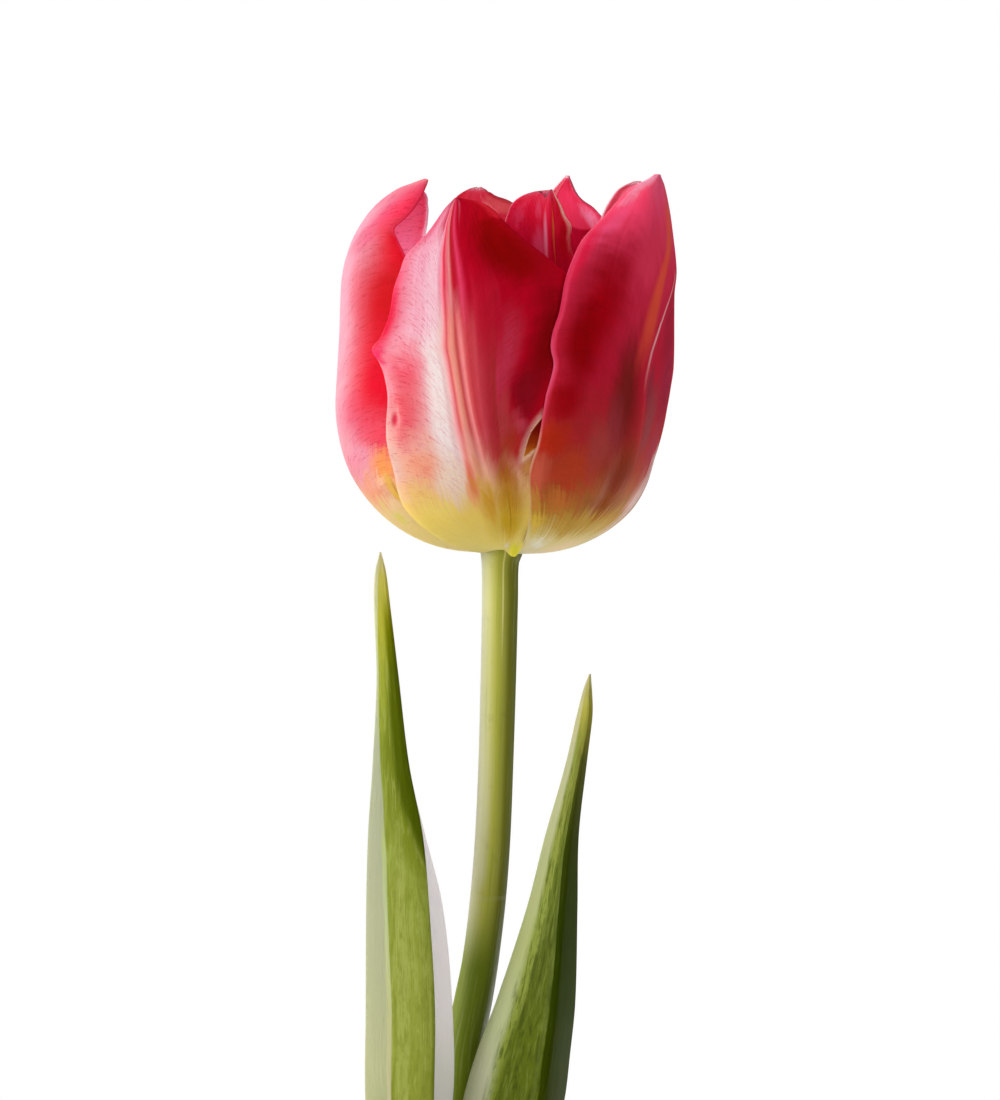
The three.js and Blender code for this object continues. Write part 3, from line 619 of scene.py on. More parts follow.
petalLooks = {
    "petal_left": {
        "seed": 2,
        "rise": [(0, "f0dc98"), (0.14, "f6d880"), (0.24, "ecc888"), (0.29, "e8ac84"), (0.34, "e4949a"),
            (0.45, "e29ca8"), (0.8, "e09cac"), (0.92, "e0889c"), (0.96, "e4607c"), (1, "ea3c5c")],
        "patches": [
            (0.52, 0.74, 0.14, 0.12, 8, "ee8c9e", 0.7), (0.5, 0.86, 0.3, 0.045, 14, "d8607c", 0.6),
            # the deep reds e42444, dc0020, cc0010 and e60024 on the right side are partly the petal's red
            # and partly painted shade in the groove beside petal_front
            (0.74, 0.91, 0.34, 0.07, 20, "e45478", 0.9), (1, 0.66, 0.7, 0.32, 0, "e42444", 0.95, 0.3),
            (0.97, 0.93, 0.42, 0.09, 10, "fa3658", 1), (0.98, 0.81, 0.36, 0.13, 14, "dc0020", 1),
            (0.83, 0.71, 0.48, 0.19, 24, "cc0010", 1), (0.56, 0.47, 0.36, 0.1, 0, "e2607c", 0.8),
            (0.78, 0.55, 0.48, 0.19, 0, "e60024", 1), (0.78, 0.42, 0.3, 0.07, 0, "f2485c", 1),
            (0.46, 0.37, 0.34, 0.05, 8, "e88ca0", 0.7), (0.5, 0.3, 0.24, 0.05, 14, "f09a74", 0.9),
            (0.74, 0.355, 0.22, 0.06, 16, "fc9c48", 0.9), (0.68, 0.325, 0.12, 0.022, 20, "f8c49c", 0.8),
            (0.66, 0.262, 0.16, 0.03, 18, "f4cc9c", 0.8), (0.76, 0.3, 0.06, 0.05, 10, "e8b83c", 0.9, 0.4),
            (0.79, 0.3, 0.02, 0.04, 10, "a87420", 0.6, 0.3), (0.56, 0.225, 0.13, 0.025, 10, "dcd040", 0.7),
            (0.77, 0.32, 0.12, 0.04, 0, "ecb060", 0.6), (0.54, 0.33, 0.14, 0.04, 0, "eea894", 0.5),
        ],
        "rims": {1: [(0.3, "f4c0a0"), (0.4, "f890a0"), (0.7, "f42c50"), (1, "f42848")]},
        "veins": ("d87c98", 0.6, 0.04, "fadde6", 0.06),
    },
    "petal_front": {
        "seed": 7,
        "rise": [(0, "f0e08c"), (0.12, "f6dc74"), (0.24, "fcd868"), (0.3, "fccc78"), (0.37, "fcb898"),
            (0.5, "f8b4b4"), (0.7, "fcb4c4"), (0.92, "f8a4ba"), (1, "e06c88")],
        "patches": [
            (0.08, 0.65, 0.07, 0.1, 0, "dc3048", 0.7), (0.18, 0.73, 0.06, 0.05, 0, "c80428", 0.6),
            # the pale column ffe8e4 left of the rib is partly the petal's pale colour and partly painted
            # light on the side facing the light
            (-0.06, 0.38, 0.06, 0.05, 0, "e88850", 0.5), (-0.3, 0.52, 0.22, 0.3, 0, "ffe8e4", 1, 0.3),
            (-0.34, 0.8, 0.22, 0.2, 0, "ffccd8", 0.8), (-0.56, 0.63, 0.24, 0.06, -12, "fc7c8c", 0.8),
            (-0.68, 0.59, 0.26, 0.06, -8, "fc6478", 0.95), (-0.74, 0.51, 0.34, 0.13, -16, "ee5864", 0.95),
            (-0.6, 0.38, 0.26, 0.06, 0, "ffa284", 0.95), (-0.95, 0.4, 0.18, 0.12, 0, "e4b8a8", 0.9),
            (-1.02, 0.75, 0.46, 0.27, 6, "ea3c62", 1), (-1.02, 0.72, 0.24, 0.13, 8, "e00c34", 1),
            (-0.96, 0.64, 0.26, 0.03, 14, "e83060", 0.95), (-0.85, 0.93, 0.3, 0.08, 0, "e0587a", 0.9),
            (-0.3, 0.945, 0.26, 0.06, 0, "d43c5c", 0.95), (-0.44, 0.995, 0.34, 0.04, 0, "b43454", 0.8),
            (-0.36, 0.34, 0.24, 0.09, 0, "ffe0ca", 0.95), (-0.87, 0.492, 0.13, 0.05, 24, "f8b0ac", 0.7),
            (-0.87, 0.492, 0.07, 0.026, 24, "dc2848", 0.95, 0.2),
            # the deep reds on the right half, darkest in 900008, 920a1c, a40004 and 920000, are partly the
            # petal's red and partly painted shade where that half turns from the light
            (0.66, 0.76, 0.66, 0.42, 0, "c80024", 1, 0.86), (0.24, 0.54, 0.24, 0.2, 0, "d4304a", 0.95),
            (0.36, 0.63, 0.18, 0.16, -12, "d43854", 0.9), (0.72, 0.66, 0.24, 0.2, -6, "900008", 1),
            (0.58, 0.55, 0.22, 0.09, -10, "920a1c", 1), (0.54, 0.475, 0.18, 0.05, -20, "cc4456", 0.9),
            (0.66, 0.9, 0.6, 0.13, 6, "a40004", 1), (0.54, 0.87, 0.4, 0.09, 10, "920000", 0.9),
            (0.94, 0.975, 0.24, 0.03, 0, "e02434", 0.8), (0.3, 0.43, 0.36, 0.08, 4, "c4402c", 0.95),
            (0.34, 0.48, 0.22, 0.04, 0, "bc3c3e", 0.8), (0.3, 0.36, 0.26, 0.06, 0, "c0641e", 0.95),
            (0.66, 0.38, 0.2, 0.07, 0, "dc9a50", 0.9), (0.3, 0.29, 0.42, 0.1, 0, "ca8e1e", 0.95),
            (0.26, 0.2, 0.46, 0.11, 0, "d8ac20", 1), (-0.04, 0.28, 0.14, 0.1, 0, "dca030", 0.9),
            (-0.2, 0.3, 0.05, 0.06, 0, "feac74", 0.9), (-0.15, 0.355, 0.06, 0.1, 0, "ee6c4c", 0.95),
            (0.3, 0.24, 0.02, 0.1, 0, "94600c", 0.5, 0.1), (-0.55, 0.25, 0.3, 0.05, 0, "ffe074", 0.8),
            (0.24, 0.085, 0.14, 0.02, 0, "fff0e8", 0.9), (0.55, 0.075, 0.36, 0.05, 0, "f8ec38", 1),
            (0.2, 0.43, 0.14, 0.03, 0, "c44c34", 0.7), (0, 0.16, 0.2, 0.09, 0, "e2c450", 0.5),
            (0.45, 0.34, 0.08, 0.05, 0, "cc8028", 0.6), (-0.12, 0.34, 0.1, 0.03, 0, "eaa048", 0.6),
            (0.35, 0.5, 0.1, 0.08, -14, "cc4448", 0.7),
        ],
        # the stripes beside the rib are partly the petal's own lines and partly painted: shade in its
        # grooves, and a pale highlight at the left edge of the upper band
        "bands": [
            (-0.27, 0.3, 0.34, 0.82, 1, [(0, "ffdcd8"), (0.1, "ffd4d0"), (0.15, "fcb4b4"), (0.2, "f08a8e"),
                (0.24, "dc585c"), (0.28, "f0887c"), (0.32, "ffa494"), (0.36, "f88c7c"), (0.4, "d8504e"),
                (0.44, "e06468"), (0.5, "ff9090"), (0.54, "e85c60"), (0.6, "d8404a"), (0.68, "e04c58"),
                (0.76, "d03a48"), (0.86, "c42c3a"), (1, "bc3434")]),
            (-0.27, 0.16, 0.66, 1.2, 1, [(0, "ffbccc"), (0.1, "ffaabc"), (0.2, "fa8c9c"), (0.27, "e84c64"),
                (0.32, "c01c38"), (0.37, "e05064"), (0.43, "f4707c"), (0.49, "ff9c9c"), (0.54, "f06468"),
                (0.59, "cc2438"), (0.65, "b80c20"), (0.7, "cc1c3c"), (0.76, "f4446c"), (0.81, "e02c50"),
                (0.87, "c8082c"), (1, "c40020")]),
            (0.12, 0.36, 0.58, 0.86, 0.85, [(0, "dc2442"), (0.25, "cc0c2c"), (0.6, "cc1030"),
                (1, "c81834")]),
        ],
        # the slit is a painted opening: its dark inside is painted shade
        "slit": {"head": (0.843, 0.507), "foot": (0.583, 0.396), "lip": (0.776, 0.418), "bow": 1.4,
            "painted_shades": [(0.05, "d87c1c"), (0.3, "a83c08"), (0.6, "800c04")], "border": "f0b0a8",
            "lipDye": "ffd0a0"},
        "veins": ("e87c9c", 0.65, 0.06, "fff0e4", 0.1),
    },
    "petal_right": {
        # petal_right glows only in its glint, a painted highlight high on its left margin
        "seed": 13, "painted_glow": 1,
        "rise": [(0, "fff0cc"), (0.1, "f4e0a0"), (0.14, "ecd88c"), (0.22, "cc9c3c"), (0.27, "b8702c"),
            (0.34, "c44830"), (0.42, "c02c30"), (0.55, "cc1c38"), (0.8, "e02c4e"), (0.92, "fa4870"),
            (1, "ff6488")],
        "patches": [
            (-0.64, 0.69, 0.4, 0.2, -10, "b80014", 1), (-0.74, 0.62, 0.24, 0.12, 0, "a6000a", 1),
            # ff2450, ffa4bc, ff4068 and ff5480, high on the left margin, are painted highlights
            (-0.95, 0.82, 0.12, 0.12, -8, "ff2450", 0.95), (-0.86, 0.975, 0.36, 0.05, 0, "ffa4bc", 0.9),
            (-0.62, 0.95, 0.3, 0.05, -20, "ff4068", 0.8), (-0.84, 0.89, 0.14, 0.06, -10, "ff5480", 0.9),
            (-0.22, 0.82, 0.26, 0.12, -24, "ee3c5c", 0.9), (0.2, 0.9, 0.2, 0.12, -20, "ec5c54", 0.8),
            (-0.18, 0.51, 0.26, 0.2, 0, "8a201e", 1), (0.18, 0.53, 0.12, 0.07, 0, "983444", 0.8),
            (-0.3, 0.45, 0.14, 0.1, 0, "a43840", 0.8), (-0.82, 0.5, 0.26, 0.07, 0, "b4000e", 0.9),
            (-0.88, 0.42, 0.26, 0.06, -10, "cc3018", 1), (-0.64, 0.35, 0.3, 0.07, -14, "cc4424", 0.9),
            (-0.4, 0.4, 0.2, 0.09, 20, "bc4844", 0.8), (-0.06, 0.34, 0.36, 0.1, 0, "943618", 0.95),
            (-0.7, 0.27, 0.22, 0.05, -8, "dc7c38", 0.8), (-0.92, 0.34, 0.12, 0.07, 0, "e2664c", 0.9),
            (-0.9, 0.2, 0.16, 0.06, -6, "f4cc4c", 0.8), (-0.24, 0.2, 0.5, 0.05, 0, "c89c38", 0.95),
            (-0.08, 0.26, 0.46, 0.045, 0, "a04c14", 0.95), (0.5, 0.66, 0.3, 0.14, 0, "b41c38", 0.9),
            (0.56, 0.54, 0.3, 0.14, -10, "b02444", 0.95), (0.24, 0.46, 0.16, 0.12, -14, "a04a50", 0.8),
            (0.5, 0.4, 0.26, 0.1, 0, "bc3c4c", 0.9), (0.6, 0.29, 0.26, 0.06, 8, "f8c0b4", 0.8),
            (-0.64, 0.11, 0.34, 0.05, 0, "fff6dc", 0.9), (0.3, 0.1, 0.7, 0.08, 0, "ffe0b4", 0.8),
            (-0.94, 0.27, 0.1, 0.05, 0, "dc9440", 0.8), (0.47, 0.33, 0.1, 0.05, 0, "c87464", 0.6),
        ],
        "seams": [
            # the crease seam is a painted highlight along the fold
            (creaseLine, 0.026, 0.5, 0.8, "ffd4d4", 0.55),
            ([(0.56, -0.04), (0.64, 0), (0.76, 0.01), (0.8, 0.04), (0.84, 0.12), (0.88, 0.14), (0.95, 0.1)],
                0.12, 0.54, 0.94, "f4583c", 0.85),
            # a painted highlight down the left margin
            ([(0, -0.985), (1, -0.985)], 0.04, 0.42, 1.1, "fa4468", 0.8),
            # three pale streaks low on the right are painted reflections
            ([(0, 0.56), (0.4, 0.62)], 0.04, 0.08, 0.4, "fff4f0", 0.4),
            ([(0, 0.68), (0.4, 0.7)], 0.05, 0.08, 0.42, "fff4f0", 0.5),
            ([(0, 0.8), (0.4, 0.78)], 0.07, 0.06, 0.4, "fff4f0", 0.6),
        ],
        "rims": {-1: [(0.1, "fff8c8"), (0.3, "f0b080"), (0.4, "f0a088"), (0.45, "ee4a60"), (0.57, "fc5c84"),
            (0.66, "f03058"), (0.8, "f03058"), (1, "f4607c")]},
        "glints": [(-0.8, 0.94, 0.6, 0.14, -14, 0.4)],
        "veins": ("c87c90", 0.15, 0.08, "ffb89c", 0.05),
    },
    "petal_right_rear": {
        "seed": 17,
        "rise": [(0, "e8dc98"), (0.12, "e8d080"), (0.22, "e09858"), (0.34, "d04050"), (0.6, "c01c44"),
            (0.9, "c82c50"), (1, "d86078")],
        "veins": ("a05068", 0.25, 0.12, "ee8c9c", 0.12),
    },
    "petal_rear_right": {
        "seed": 19,
        "rise": [(0, "e8dc98"), (0.12, "e8d080"), (0.22, "e8a468"), (0.34, "e06878"), (0.6, "dc3c60"),
            (0.9, "d83058"), (1, "e06880")],
        # the paler e87c88 down the middle is a painted sheen
        "patches": [(0, 0.6, 0.34, 0.34, 0, "e87c88", 0.5), (0.6, 0.66, 0.4, 0.2, 0, "c01038", 0.8)],
        "veins": ("b06078", 0.3, 0.15, "f4a4b0", 0.2),
    },
    "petal_rear_left": {
        "seed": 23,
        "rise": [(0, "e8dc98"), (0.12, "e8d080"), (0.22, "eeb480"), (0.34, "ec8c98"), (0.6, "e87890"),
            (0.9, "d84868"), (1, "c83050")],
        # the paler f0a0a8 down the middle is a painted sheen
        "patches": [(0.05, 0.55, 0.36, 0.34, 0, "f0a0a8", 0.5), (-0.6, 0.66, 0.4, 0.2, 0, "d02048", 0.8)],
        "veins": ("b86480", 0.35, 0.15, "f8c0cc", 0.2),
    },
    "petal_rear_inner": {
        "seed": 29,
        "rise": [(0, "e8dc98"), (0.12, "e8d080"), (0.22, "e09858"), (0.34, "d04050"), (0.6, "c01c44"),
            (0.9, "c02448"), (1, "c83858")],
        "veins": ("a05068", 0.25, 0.12, "ee8c9c", 0.12),
    },
}

# inner faces: one common colouring, and those that show between the petals
innerLook = {
    "seed": 0,
    "rise": [(0, "c8c04c"), (0.12, "e0cc50"), (0.2, "e89c3c"), (0.3, "d83c3c"), (0.6, "d01c44"),
        (0.9, "dc3458"), (1, "e45c78")],
    "patches": [(0, 0.6, 0.12, 0.35, 0, "e8607c", 0.5)],
    "veins": ("a05068", 0.3, 0.2, "f08ca0", 0.15),
}

innerLooks = {
    "petal_left": {
        "seed": 31, "glow": 1, "depth": 0.004,
        "rise": [(0, "d8cf70"), (0.2, "eecc80"), (0.32, "f09080"), (0.5, "f87890"), (0.86, "ff98b0"),
            (0.93, "ff84a0"), (1, "ff7490")],
        "patches": [(-0.97, 0.93, 0.16, 0.09, 0, "fa6480", 0.7)],
        "rims": {-1: [(0.8, "b42444"), (1, "a82444")]},
        "veins": ("a83460", 0.5, 0.05, "fcc4d0", 0.1),
    },
    "petal_rear_inner": {
        "seed": 37, "glow": 0.6,
        "rise": [(0, "c8c04c"), (0.2, "e89c3c"), (0.3, "c83038"), (0.7, "c40c34"), (0.88, "dc1040"),
            (0.96, "f0204c"), (1, "f04060")],
        "patches": [
            (0.42, 0.92, 0.3, 0.04, 30, "e01440", 0.8), (0.3, 0.955, 0.12, 0.03, 40, "ff6088", 0.7),
            # the ff5484 patch at 0.26, 0.88 is painted light deep in the cup
            (0.72, 0.95, 0.2, 0.03, -20, "ff4470", 0.7), (0.26, 0.88, 0.2, 0.05, 20, "ff5484", 0.9),
            (-0.6, 0.9, 0.44, 0.12, 0, "c0081e", 0.9), (0.12, 0.9, 0.07, 0.09, -4, "ff8cac", 0.95, 0.2),
            (-0.08, 0.92, 0.08, 0.11, 0, "f49c50", 0.95, 0.3),
        ],
        "bands": [
            (-1.06, -0.74, 0.83, 1.08, 0.9, [(0, "fff0dc"), (0.45, "ffe4cc"), (0.7, "e89088"),
                (1, "d04058")]),
        ],
        "rims": {-1: [(0.8, "b01838"), (0.895, "d04058"), (0.915, "ffe4cc"), (0.955, "ffe4cc"),
            (0.97, "8c2c3c"), (1, "6c1c2c")], 1: [(0.8, "f04c6c"), (0.97, "ff8094"), (1, "d04860")]},
        "veins": ("c06080", 0.4, 0.1, "f8a0b8", 0.15),
    },
    "petal_rear_right": {
        # this inner face glows all over, a painted glow for light coming through the petal
        "seed": 41, "glow": 0.6, "painted_glow": 0.3,
        # the deep reds 980428 and a4082c are painted shade under the curled flap, and the crisp f84470 band
        # at the top is painted light on the flap
        "rise": [(0, "c8c04c"), (0.2, "e89c3c"), (0.3, "d83c3c"), (0.7, "980428"), (0.84, "a4082c"),
            (0.9, "c41440"), (1, "e02c54")],
        "patches": [
            (-0.3, 0.965, 1, 0.085, 0, "f84470", 1, 0.9), (-0.6, 0.91, 0.4, 0.035, 0, "ff98bc", 0.9),
            (-0.1, 0.985, 0.7, 0.04, 0, "cc2c4a", 0.95), (-0.5, 0.95, 0.3, 0.02, 0, "e8345c", 0.7),
            (0.86, 0.97, 0.2, 0.05, 0, "ffa0b4", 0.8),
        ],
        "rims": {-1: [(0.8, "c84868"), (1, "c84868")], 1: [(0.8, "f0b0b8"), (1, "ffc8d0")]},
        "veins": ("c87090", 0.7, 0.1, "ffb4c4", 0.2),
    },
    "petal_rear_left": {
        # this inner face glows all over, a painted glow for light coming through the petal
        "seed": 43, "glow": 0.5, "painted_glow": 0.12,
        "rise": [(0, "c8c04c"), (0.2, "e89c3c"), (0.3, "d83c3c"), (0.7, "c01834"), (0.9, "dc2c4c"),
            (1, "f04868")],
        "patches": [
            (-0.68, 0.965, 0.42, 0.03, 0, "ec7078", 0.9, 0.6),
            (-0.26, 0.972, 0.3, 0.012, 20, "ff949c", 0.8), (0.36, 0.985, 0.4, 0.014, 0, "f4506c", 0.8),
        ],
        "rims": {-1: [(0.8, "e08080"), (1, "c05060")], 1: [(0.8, "e08080"), (1, "c85868")]},
        "veins": ("b86078", 0.3, 0.1, "f8a0ac", 0.15),
    },
    "petal_right_rear": {
        # this inner face glows all over, a painted glow for light coming through the petal
        "seed": 47, "glow": 0.5, "painted_glow": 0.1,
        "rise": [(0, "c8c04c"), (0.2, "e89c3c"), (0.3, "d83c3c"), (0.7, "c01834"), (0.9, "e04464"),
            (1, "ee6c84")],
        "rims": {-1: [(0.8, "802038"), (1, "702030")], 1: [(0.84, "802038"), (0.92, "f8b0c0"),
            (1, "fcd0dc")]},
        "veins": ("a05068", 0.3, 0.1, "f0909c", 0.15),
    },
}

for name, plan in petalPlans.items():
    outside = petalFinish(name + "_outside", petalLooks[name])
    inside = petalFinish(name + "_inside", innerLooks.get(name, innerLook))
    petal = pieceOf(name + "_blade", petalBlade(plan), [outside, inside], name)
    thicken(petal, petalForm["thickness"])
print("petals made")


# Leaves

# rows of (height, x and y of the left margin, of the keel and of the right margin)
leafRows = {
    "leaf_left": [(88.4, -4.5, 4.6, -8.4, -0.5, -4.2, -5.3), (100, -6.6, 2.6, -12, -3.5, -5.2, -8.5),
        (117, -6.2, -2, -16.5, -8, -5.3, -14.5), (134, -2.1, -5.2, -18.35, -10, -5.5, -18),
        (153, -2.1, -3.4, -18.4, -8.5, -5.3, -16), (172, -4, -2, -18.35, -7, -6.4, -14),
        (186, -7.5, -2, -18, -6.5, -7.7, -12), (200, -11, -2.6, -17.1, -6, -10.5, -9.6),
        (216, -13.2, -3.6, -16.4, -5.6, -12.5, -7.6), (230, -14.7, -4.5, -16.9, -5.3, -14.2, -6.3),
        (236.5, -15.4, -4.7, -16.95, -5.15, -15.05, -5.7), (240.2, -16.05, -4.95, -16.25, -5.1, -16, -5.2)],
    "leaf_right": [(88.4, -2.2, -5.7, 3.8, -4.8, 2.7, 4.1), (100, -2.4, -7, 6.2, -8.4, 9, 2.6),
        (117, -3, -8.4, 10.4, -12, 14.4, 0), (134, -1, -8.6, 14.4, -13, 18.9, -1.6),
        (144, 1.75, -7.8, 15.9, -12.7, 20.2, -1.2), (154, 5.65, -7, 17.2, -12, 21.2, -1),
        (172, 11.75, -6, 18.7, -11, 21.5, -2), (186, 15.4, -5.6, 20.1, -9.5, 21.6, -3),
        (200, 19.5, -5.4, 22.2, -7.8, 23.1, -4), (209, 21.6, -5.2, 23.4, -6.3, 24.2, -4.6),
        (213.5, 22.7, -5.05, 23.7, -5.6, 24.4, -4.65), (216.8, 23.95, -4.95, 24.05, -5.1, 24.2, -4.9)],
}

leafPlan = {
    "grid": (64, 200),
    "thickness": 1.0,
    "margin": 0.1,
    "thinning": 9,
    "fold": {"leaf_left": 0.35, "leaf_right": 0.6},  # 0 is a round keel, 1 a sharp one
}


# Long strips of colour run up a leaf between two lines, over a base that changes with height. Some strips
# are painted light and shade: pale strips on a flank that faces the light, a dark strip on one turned from
# it, and a painted highlight along the keel. The values of a strip: its two lines, softness, low and high
# along, colour, share, and how ragged its sides are.
# The ones under have no ragged sides, and the last strip may glow in a colour of its own, a painted glow.
def leafFinish(name, look):
    material, wire = startFinish(name)
    across, along = bladeOf(wire)
    across = across * 2 - 1
    seed = look["seed"]
    broad = noiseOf(vectorOf(across * 5 + seed, along * 6, seed), 1, 4, 0.6)
    streak = noiseOf(vectorOf(across * 15, along * 22, seed), 1, 4, 0.62, 0.5)
    fine = noiseOf(vectorOf(across * 70, along * 20, seed), 1, 2, 0.5)
    mottle = noiseOf(vectorOf(across * 16, along * 70, seed), 1, 3, 0.6)
    shift = across + (streak - 0.5) * 0.05 + (broad - 0.5) * 0.04
    colour = (along + (streak - 0.5) * 0.05).ramp(look["rise"])

    def between(line, start, end, soft, low, high):
        start, end = pathOf(along, start), pathOf(along, end)
        inside = (line - start).step(0, soft) * (end - line).step(0, soft)
        return inside * along.step(low, low + 0.06) * along.step(high, high - 0.06)

    def laid(under, line, *strip):
        *form, dye_and_light, share = strip
        top = along.ramp(dye_and_light) if isinstance(dye_and_light, list) else dye_and_light
        return over(under, top, between(line, *form) * share)

    for strip in look["under"]:
        colour = laid(colour, shift, *strip)
    below = along.step(0.97, 0.84)
    colour = layered(
        colour,
        (look["dark"], streak.step(0.5, 0.62) * look["streaks"] * below),
        (look["light"], streak.step(0.48, 0.38) * look["lights"] * below),
        (look["dark"], (mottle * fine).step(0.26, 0.36) * 0.4 * below),
    )
    for *strip, ragged in look["strips"]:
        colour = laid(colour, across + (streak - 0.5) * ragged, *strip)
    colour = over(colour, look["light"], fine.step(0.55, 0.75) * 0.12)
    *form, dye_and_light, share, ragged = look["strips"][-1]
    # painted light: the last strip glows in a colour of the look
    painted_glow = over("000000", look.get("painted_glow", "000000"), between(across, *form) * share)
    height = streak + fine * 0.5 + mottle * 0.15
    return endFinish(material, colour, streak * 0.14 + 0.42, height, 0.2, 0.8, {
        "Subsurface Weight": 0.05, "Subsurface Radius": (0.4, 0.8, 0.2), "Subsurface Scale": 0.001,
        "Specular IOR Level": 0.008, "IOR": 1.42, "Emission Color": painted_glow, "Emission Strength": 1,
    })


leafLooks = {
    "leaf_left": {
        # the far strip glows pale lilac, a painted glow
        "seed": 3, "streaks": 0.45, "lights": 0.45, "dark": "7a8626", "light": "a8b158", "painted_glow": "807a8a",
        "rise": [(0, "5f7426"), (0.3, "8c9636"), (0.45, "969f42"), (0.6, "929e40"), (0.75, "8c9834"),
            (0.83, "a4ac3c"), (0.92, "c4c040"), (0.97, "d0c85c"), (1, "dcd49c")],
        "under": [
            (0.6, 0.8, 0.06, 0.2, 0.88, "a8b058", 0.6),
            (0.97, 1.2, 0.03, 0.1, 0.5, "6c7e20", 0.6),
            ([(0.56, 1), (0.62, 0.6), (0.69, 0.4), (0.76, 0.36), (0.86, 0.5)], 1.2, 0.3, 0.54, 0.96,
                [(0.6, "7c8820"), (0.8, "6c7810"), (0.92, "949410")], 0.85),
        ],
        "strips": [
            ([(0.58, 1), (0.69, 0.68), (0.81, 0.6), (0.9, 0.64)], 1.2, 0.16, 0.56, 0.95, [(0.7, "4e5c04"),
                (0.85, "5a6606"), (0.92, "7c8000")], 0.95, 0.06),
            # the pale grey-green strip left of the crease is painted light on the flank that faces the light
            (-0.3, [(0.3, 0.585), (0.44, 0.57), (0.56, 0.53), (0.61, 0.515), (0.69, 0.45), (0.75, 0.34),
                (0.81, 0.2), (0.88, 0.18), (0.94, 0.34), (1, 0.5)], 0.03, -0.1, 1.2, [(0.2, "a8ac78"),
                (0.34, "b6b98c"), (0.6, "b0b392"), (0.75, "b0b494"), (0.9, "ccd09c"), (1, "e0dcae")], 0.96,
                0.02),
            # a cream line along the crease, a painted highlight on the ridge
            ([(0.3, 0.5), (0.44, 0.49), (0.56, 0.45), (0.61, 0.42), (0.69, 0.35)], [(0.3, 0.585),
                (0.44, 0.57), (0.56, 0.53), (0.61, 0.515), (0.69, 0.45)], 0.02, 0.1, 0.68, [(0.3, "c4bc94"),
                (0.45, "c6ca8c"), (0.56, "bcc892"), (0.66, "b8c66c")], 0.8, 0.02),
            (-1.2, -0.3, 0.1, -0.1, 1.2, "a8b284", 0.9, 0.05),
            # the nearly white far strip is painted light on a face turned from the light
            (-1.2, -0.78, 0.06, -0.1, 0.76, [(0.2, "9a9f68"), (0.34, "cdd0a4"), (0.42, "f2ecdc"),
                (0.62, "fbf5f2"), (0.72, "e4e0cc")], 0.97, 0.03),
        ],
    },
    "leaf_right": {
        "seed": 11, "streaks": 0.6, "lights": 0.5, "dark": "45551a", "light": "8e9c46",
        "rise": [(0, "56661c"), (0.38, "6b7a20"), (0.46, "6b7a20"), (0.6, "68752a"), (0.74, "707e2c"),
            (0.87, "8a8e3a"), (0.95, "c8c254"), (1, "dad290")],
        "under": [
            (-0.84, [(0.38, -0.58), (0.46, -0.56), (0.59, -0.42), (0.73, -0.28), (0.87, -0.15)], 0.12, 0,
                0.94, [(0.4, "a8b84c"), (0.6, "a4b250"), (0.8, "9ca44c")], 0.95),
        ],
        "strips": [
            # the pale strip on the left flank is painted light
            (-1.2, [(0.38, -0.66), (0.46, -0.66), (0.59, -0.63), (0.73, -0.56), (0.87, -0.46), (1, -0.4)],
                0.15, -0.1, 1.2, [(0.3, "f0f0cc"), (0.4, "f0f2cc"), (0.48, "e2eab2"), (0.6, "ced690"),
                (0.73, "c3c892"), (0.87, "c9c99c"), (1, "e2d9a0")], 0.95, 0.14),
            (-0.2, -0.1, 0.05, 0.2, 0.8, "6c7a3c", 0.45, 0.08),
            # the dark strip on the right flank is painted shade
            ([(0.38, -0.1), (0.46, -0.12), (0.6, -0.11), (0.73, -0.16), (0.87, -0.04), (0.96, 0.1)], 1.2,
                0.03, -0.1, 1, [(0.3, "3a4802"), (0.6, "304002"), (0.75, "38440a"), (0.87, "585c20"),
                (0.95, "a09a38")], 0.97, 0.02),
            (0.97, 1.2, 0.015, 0, 0.6, "a8aa80", 0.6, 0),
        ],
    },
}


def leafBlade(rows, fold):
    foot, tip = rows[0][0], rows[-1][0]

    def placeRow(v):
        height = foot + (tip - foot) * v
        left, keel, right = [
            Vector([through(rows, height, c), through(rows, height, c + 1), height]) for c in (1, 3, 5)
        ]

        # a soft form and a sharp one, whose keel is rounded a little
        def place(u):
            edge = left if u < 0 else right
            soft = keel + (right - left) * u / 2 + ((left + right) / 2 - keel) * u * u
            bend = math.sqrt(u * u + 0.0025) - 0.05
            sharp = keel + (edge - keel) * bend
            return soft.lerp(sharp, fold)

        return place

    return blade(*leafPlan["grid"], placeRow)


for name, rows in leafRows.items():
    skin = leafFinish(name + "_skin", leafLooks[name])
    leaf = pieceOf(name + "_blade", leafBlade(rows, leafPlan["fold"][name]), [skin], name)
    thicken(leaf, leafPlan["thickness"], False, leafPlan["margin"], leafPlan["thinning"])
print("leaves made")


# Stem

stemPlan = {
    "grid": (48, 260),
    "ribs": 6, "ribDepth": 0.012,
    "rows": [(74.3, -2, 0, 4.1), (95, -2, 0, 4.1), (118, -1.7, 0.4, 4), (143, -0.4, 1.4, 3.85),
        (154, 1.7, 1.8, 3.7), (161.5, 3.05, 2, 3.5), (173, 4.45, 2.1, 3.45), (185, 5.38, 2.1, 3.4),
        (200, 6.02, 1.7, 3.35), (215, 6.45, 1.1, 3.4), (231, 6.8, 0.3, 3.45), (237.9, 6.85, 0, 3.55),
        (239.9, 7.1, 0, 4), (242.6, 7.1, 0, 4), (243.3, 7.1, 0, 3), (243.4, 7.1, 0, 0)],
}

